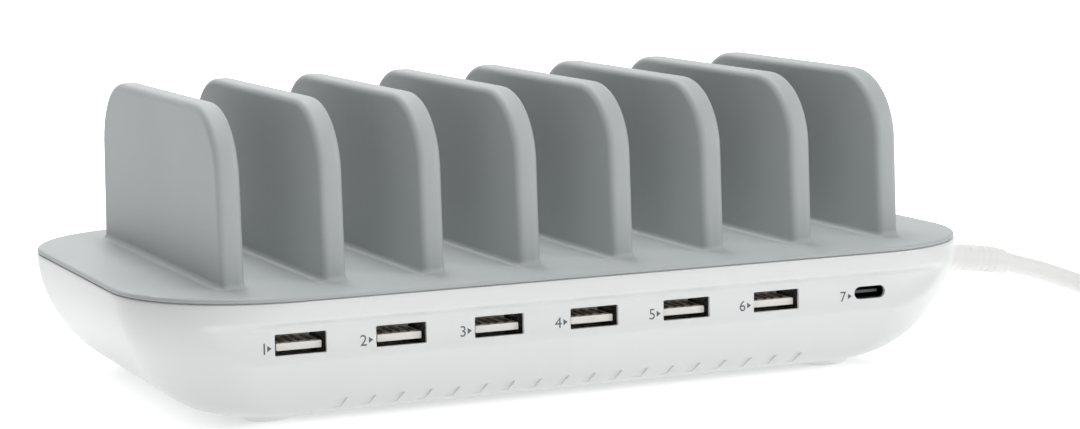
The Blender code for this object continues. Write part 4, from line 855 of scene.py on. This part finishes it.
# Contacts: brass painted darker than the plated brass, for the shade and dark reflections inside the socket
shade_darkened_brass = surface("contact_brass_painted_dark", "#8A8074", 0.36, grain=0.5 * MM, depth=0.002 * MM, metal=1.0)
a_numbers = range(1, PORT_COUNT)
for name, mesh, finish, slot, nodes in (
        ("usb_a_shells", shell, nickel_steel, "plated_steel", [f"usb_a_shell_{n}" for n in a_numbers]),
        ("usb_a_tongues", merged("tongue", [tongue, root_block]), socket_pbt, "socket_plastic",
         [f"usb_a_tongue_{n}" for n in a_numbers]),
        ("usb_a_contacts", merged("contacts", contacts), shade_darkened_brass, "plated_brass", [])):
    new_piece(name, copies_of(name, mesh, finish, PORT_COUNT - 1, PORT_XS[0]), finish, nodes)

# %% [markdown]
# A small pointer and a number are printed beside each port. Text is drawn as a curve, made a mesh, and only
# then laid on the panel, so that its place is in its mesh like any other piece's.

# %% Port numbers
NUMERAL_HEIGHT, NUMERAL_DROP, INK_GAP, DIGIT_GAP = 2.6 * MM, 0.6 * MM, 0.8 * MM, 0.5 * MM
POINTER_REACH, POINTER_HALF, POINTER_INK = 1.1 * MM, 0.75 * MM, 0.003 * MM
RAW_DEPTH, INK_DEPTH = 0.01, 0.003  # of a digit one unit high, as drawn and as printed
INK_LIFT = 0.02 * MM
grey_ink = surface("pad_printed_grey_ink", "#5E6368", 0.6, depth=0.001 * MM, mottle=0.02)


def numeral(text):
    """A digit as a flat mesh, its lower left corner at the origin, and its width."""
    data = bpy.data.curves.new("numeral", "FONT")
    data.body = text
    data.extrude = RAW_DEPTH
    holder = bpy.data.objects.new("numeral", data)
    scene.collection.objects.link(holder)
    graph = bpy.context.evaluated_depsgraph_get()
    mesh = bpy.data.meshes.new_from_object(holder.evaluated_get(graph))
    bpy.data.objects.remove(holder)
    xs, ys = ([vertex.co[axis] for vertex in mesh.vertices] for axis in (0, 1))
    size = NUMERAL_HEIGHT / (max(ys) - min(ys))
    mesh.transform(Matrix.Diagonal((size, size, INK_DEPTH * size / RAW_DEPTH, 1))
                   @ Matrix.Translation((-min(xs), -min(ys), 0)))
    return mesh, (max(xs) - min(xs)) * size


pointer = bpy.data.meshes.new("pointer")
pointer.from_pydata(
    [(x, y, z) for z in (-POINTER_INK, POINTER_INK)
     for x, y in ((0, -POINTER_HALF), (POINTER_REACH, 0), (0, POINTER_HALF))],
    [], [(2, 1, 0), (3, 4, 5), (0, 1, 4, 3), (1, 2, 5, 4), (2, 0, 3, 5)])
upright = Matrix.Rotation(math.pi / 2, 4, "X")
foot_z = PORT_Z - NUMERAL_DROP - NUMERAL_HEIGHT / 2
marks = []
for number, x in enumerate(PORT_XS, 1):
    half_width = PORT_WIDTH / 2 if number < PORT_COUNT else C_WIDTH / 2
    digit, width = numeral(str(number))
    pointer_x = x - half_width - INK_GAP - POINTER_REACH
    digit_x = pointer_x - DIGIT_GAP - width
    for mesh, left, up in ((pointer.copy(), pointer_x, NUMERAL_HEIGHT / 2), (digit, digit_x, 0)):
        at = Matrix.Translation((left, PANEL_Y - INK_LIFT, foot_z + up))
        mesh.transform(at @ upright)
        marks.append(mesh)
new_piece("port_numbers", merged("port_numbers", marks), grey_ink)

# %% [markdown]
# The connector is over-moulded in the same PVC as the lead: a rectangular grip against the casing, then a
# round boot that bends a little with the weight of the cord. Shallow ribs on the boot let it flex and give
# fingers a hold. It is a loft along X, with squarer sections in the grip and round ones in the boot.

# %% Connector of the lead
BOOT_RADIUS, BOOT_DROP, BOOT_CURVE = 3.6 * MM, 2.9 * MM, 2.2
BEND_START_X, BOOT_END_X = 115.0 * MM, 145.0 * MM
RIB_COUNT, RIB_FIRST_X, RIB_PITCH, RIB_SIDES = 6, 130.5 * MM, 2.0 * MM, 48
RIB_WIDTH, RIB_HEIGHT = 0.8 * MM, 0.07 * MM
# X, half width and half height in mm, and fullness
GRIP = [(95.5, 6.0, 3.6, 2.6), (95.8, 6.5, 4.0, 2.6), (106.8, 6.5, 4.0, 2.6), (106.82, 7.0, 3.7, 4),
        (107.2, 7.6, 4.2, 4.5), (108.2, 7.8, 4.4, 4.5), (121.5, 7.8, 4.4, 4.5), (123.4, 7.3, 4.3, 4),
        (125.0, 5.6, 4.05, 2.8), (126.4, 4.2, 3.8, 2.2)]
BOOT = [(x, 3.6, 3.6, 2) for x in (127.8, 131, 135, 139, 142, 144)]
BOOT += [(144.5, 3.5, 3.5, 2), (144.9, 3.2, 3.2, 2), (145.0, 2.7, 2.7, 2)]


def section(x, half_y, half_z, z, fullness, y=INLET_Y, sides=48):
    """A ring round the X direction: fullness 2 is an ellipse, more is squarer."""
    points = []
    for i in range(sides):
        a = 2 * math.pi * i / sides
        c, s = math.cos(a), math.sin(a)
        points.append((x, y + half_y * math.copysign(abs(c) ** (2 / fullness), c),
                       z + half_z * math.copysign(abs(s) ** (2 / fullness), s)))
    return points


def boot_line(x):
    """Height of the boot's middle line: level at the grip, and lower towards the cord."""
    share = max(0, x - BEND_START_X) / (BOOT_END_X - BEND_START_X)
    return PORT_Z - BOOT_DROP * share**BOOT_CURVE


boot = loft("connector", [section(x * MM, half_y * MM, half_z * MM, boot_line(x * MM), fullness)
                          for x, half_y, half_z, fullness in GRIP + BOOT])
rib_line = line_mesh("rib_line", [(0.0, 0.0, 0.0), (RIB_WIDTH, 0.0, 0.0)])
rib = grown("rib", rib_line, sweep, Radius=BOOT_RADIUS + RIB_HEIGHT, Sides=RIB_SIDES, Finish=white_pvc)
ribs = []
for i in range(RIB_COUNT):
    x = RIB_FIRST_X + RIB_PITCH * i
    slope = math.atan2(boot_line(x + MM / 2) - boot_line(x - MM / 2), MM)
    one = rib.copy()
    one.transform(Matrix.Translation((x, INLET_Y, boot_line(x))) @ Matrix.Rotation(-slope, 4, "Y"))
    ribs.append(one)
connector = new_piece("connector", merged("connector", [boot, *ribs]), white_pvc,
                      ["cord_connector"])

# %% [markdown]
# The wall plug is another loft along X: a flat-sided body that narrows into a neck round the cord. Its two
# blades are the CAD model's.

# %% Wall plug
PLUG_Y, PLUG_Z = -84.4 * MM, 18.7 * MM
# As in the connector's lists
PLUG = [(189.0, 9.6, 5.6, 5), (189.25, 10.5, 6.5, 5), (190.0, 11.0, 7.0, 5), (202.0, 11.0, 7.0, 4.5),
        (210.5, 10.6, 6.8, 4), (213.5, 9.2, 6.3, 3.4), (215.6, 6.8, 5.5, 2.6), (217.4, 5.0, 4.8, 2.1),
        (219.5, 4.4, 4.4, 2), (224, 3.9, 3.9, 2), (228.4, 3.4, 3.4, 2), (228.9, 3.1, 3.1, 2),
        (229.0, 2.7, 2.7, 2)]
plug_mesh = loft("plug", [section(x * MM, half_y * MM, half_z * MM, PLUG_Z, fullness, PLUG_Y)
                          for x, half_y, half_z, fullness in PLUG])
plug = new_piece("plug", plug_mesh, white_pvc, ["wall_plug"])

# %% [markdown]
# What is left are the CAD parts whose shape is right as it is. Each keeps its mesh and gets the finish that
# its maker would name: solder mask on the boards, tape and enamelled wire on the coils, shrink sleeve on the
# capacitors.

# %% Finishes of the parts inside
inside = {
    "foot_rubber": foot_rubber,
    "plated_steel": nickel_steel,
    "plated_brass": plated_brass,
    "aluminium": aluminium,
    "black_plastic": black_nylon,
    "socket_plastic": socket_pbt,
    "circuit_board": surface("green_solder_mask", "#1F5A38", 0.35, grain=1.2 * MM, depth=0.01 * MM,
                             mottle=0.12, coat=0.3),
    "ferrite": surface("sintered_ferrite", "#3B3B3E", 0.62, grain=0.5 * MM, depth=0.02 * MM, mottle=0.08),
    "winding_tape": surface("yellow_polyester_tape", "#E2BE3E", 0.32, grain=2.0 * MM, depth=0.01 * MM,
                            mottle=0.05, coat=0.2),
    "enamelled_copper": surface("enamelled_copper_wire", "#9B4A22", 0.3, grain=0.8 * MM, depth=0.08 * MM,
                                mottle=0.15, coat=0.4),
    "capacitor_sleeve": surface("black_shrink_sleeve", "#1B2230", 0.3, grain=1.5 * MM, depth=0.01 * MM,
                                mottle=0.1),
    "film_capacitor": surface("yellow_film_capacitor", "#D9B32C", 0.38, grain=1.0 * MM, depth=0.01 * MM,
                              mottle=0.04),
    "insulating_film": surface("insulating_polyester_film", "#D8DAD4", 0.28, grain=3.0 * MM, depth=0.01 * MM,
                               mottle=0.03),
    "fuse_ceramic": surface("fired_fuse_ceramic", "#DCD8CC", 0.5, grain=0.4 * MM, depth=0.01 * MM,
                            mottle=0.03),
    "wire_brown": surface("brown_wire_insulation", "#5A3220", 0.42, grain=0.5 * MM, depth=0.005 * MM),
    "wire_red": surface("red_wire_insulation", "#A3231D", 0.42, grain=0.5 * MM, depth=0.005 * MM),
    "grey_plastic": grey_abs,
    "white_plastic": white_abs,
    "white_pvc": white_pvc,
}
grey_tongue = surface("dark_grey_lcp", "#55575A", 0.4, depth=0.003 * MM)
# USB-C shell: nickel painted near black, for the shade inside the socket's mouth
shade_darkened_nickel = surface("nickel_shell_painted_dark", "#1E1E20", 0.35, grain=0.5 * MM, depth=0.002 * MM, metal=1.0)
special = {"usb_c_shell": shade_darkened_nickel, "usb_c_tongue": grey_tongue}
for name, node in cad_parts.items():
    for holder in node.material_slots:
        slot_name = holder.material.name.split(".")[0]
        holder.material = special.get(name) or inside[slot_name]
print(len(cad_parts), "CAD nodes have their finish")
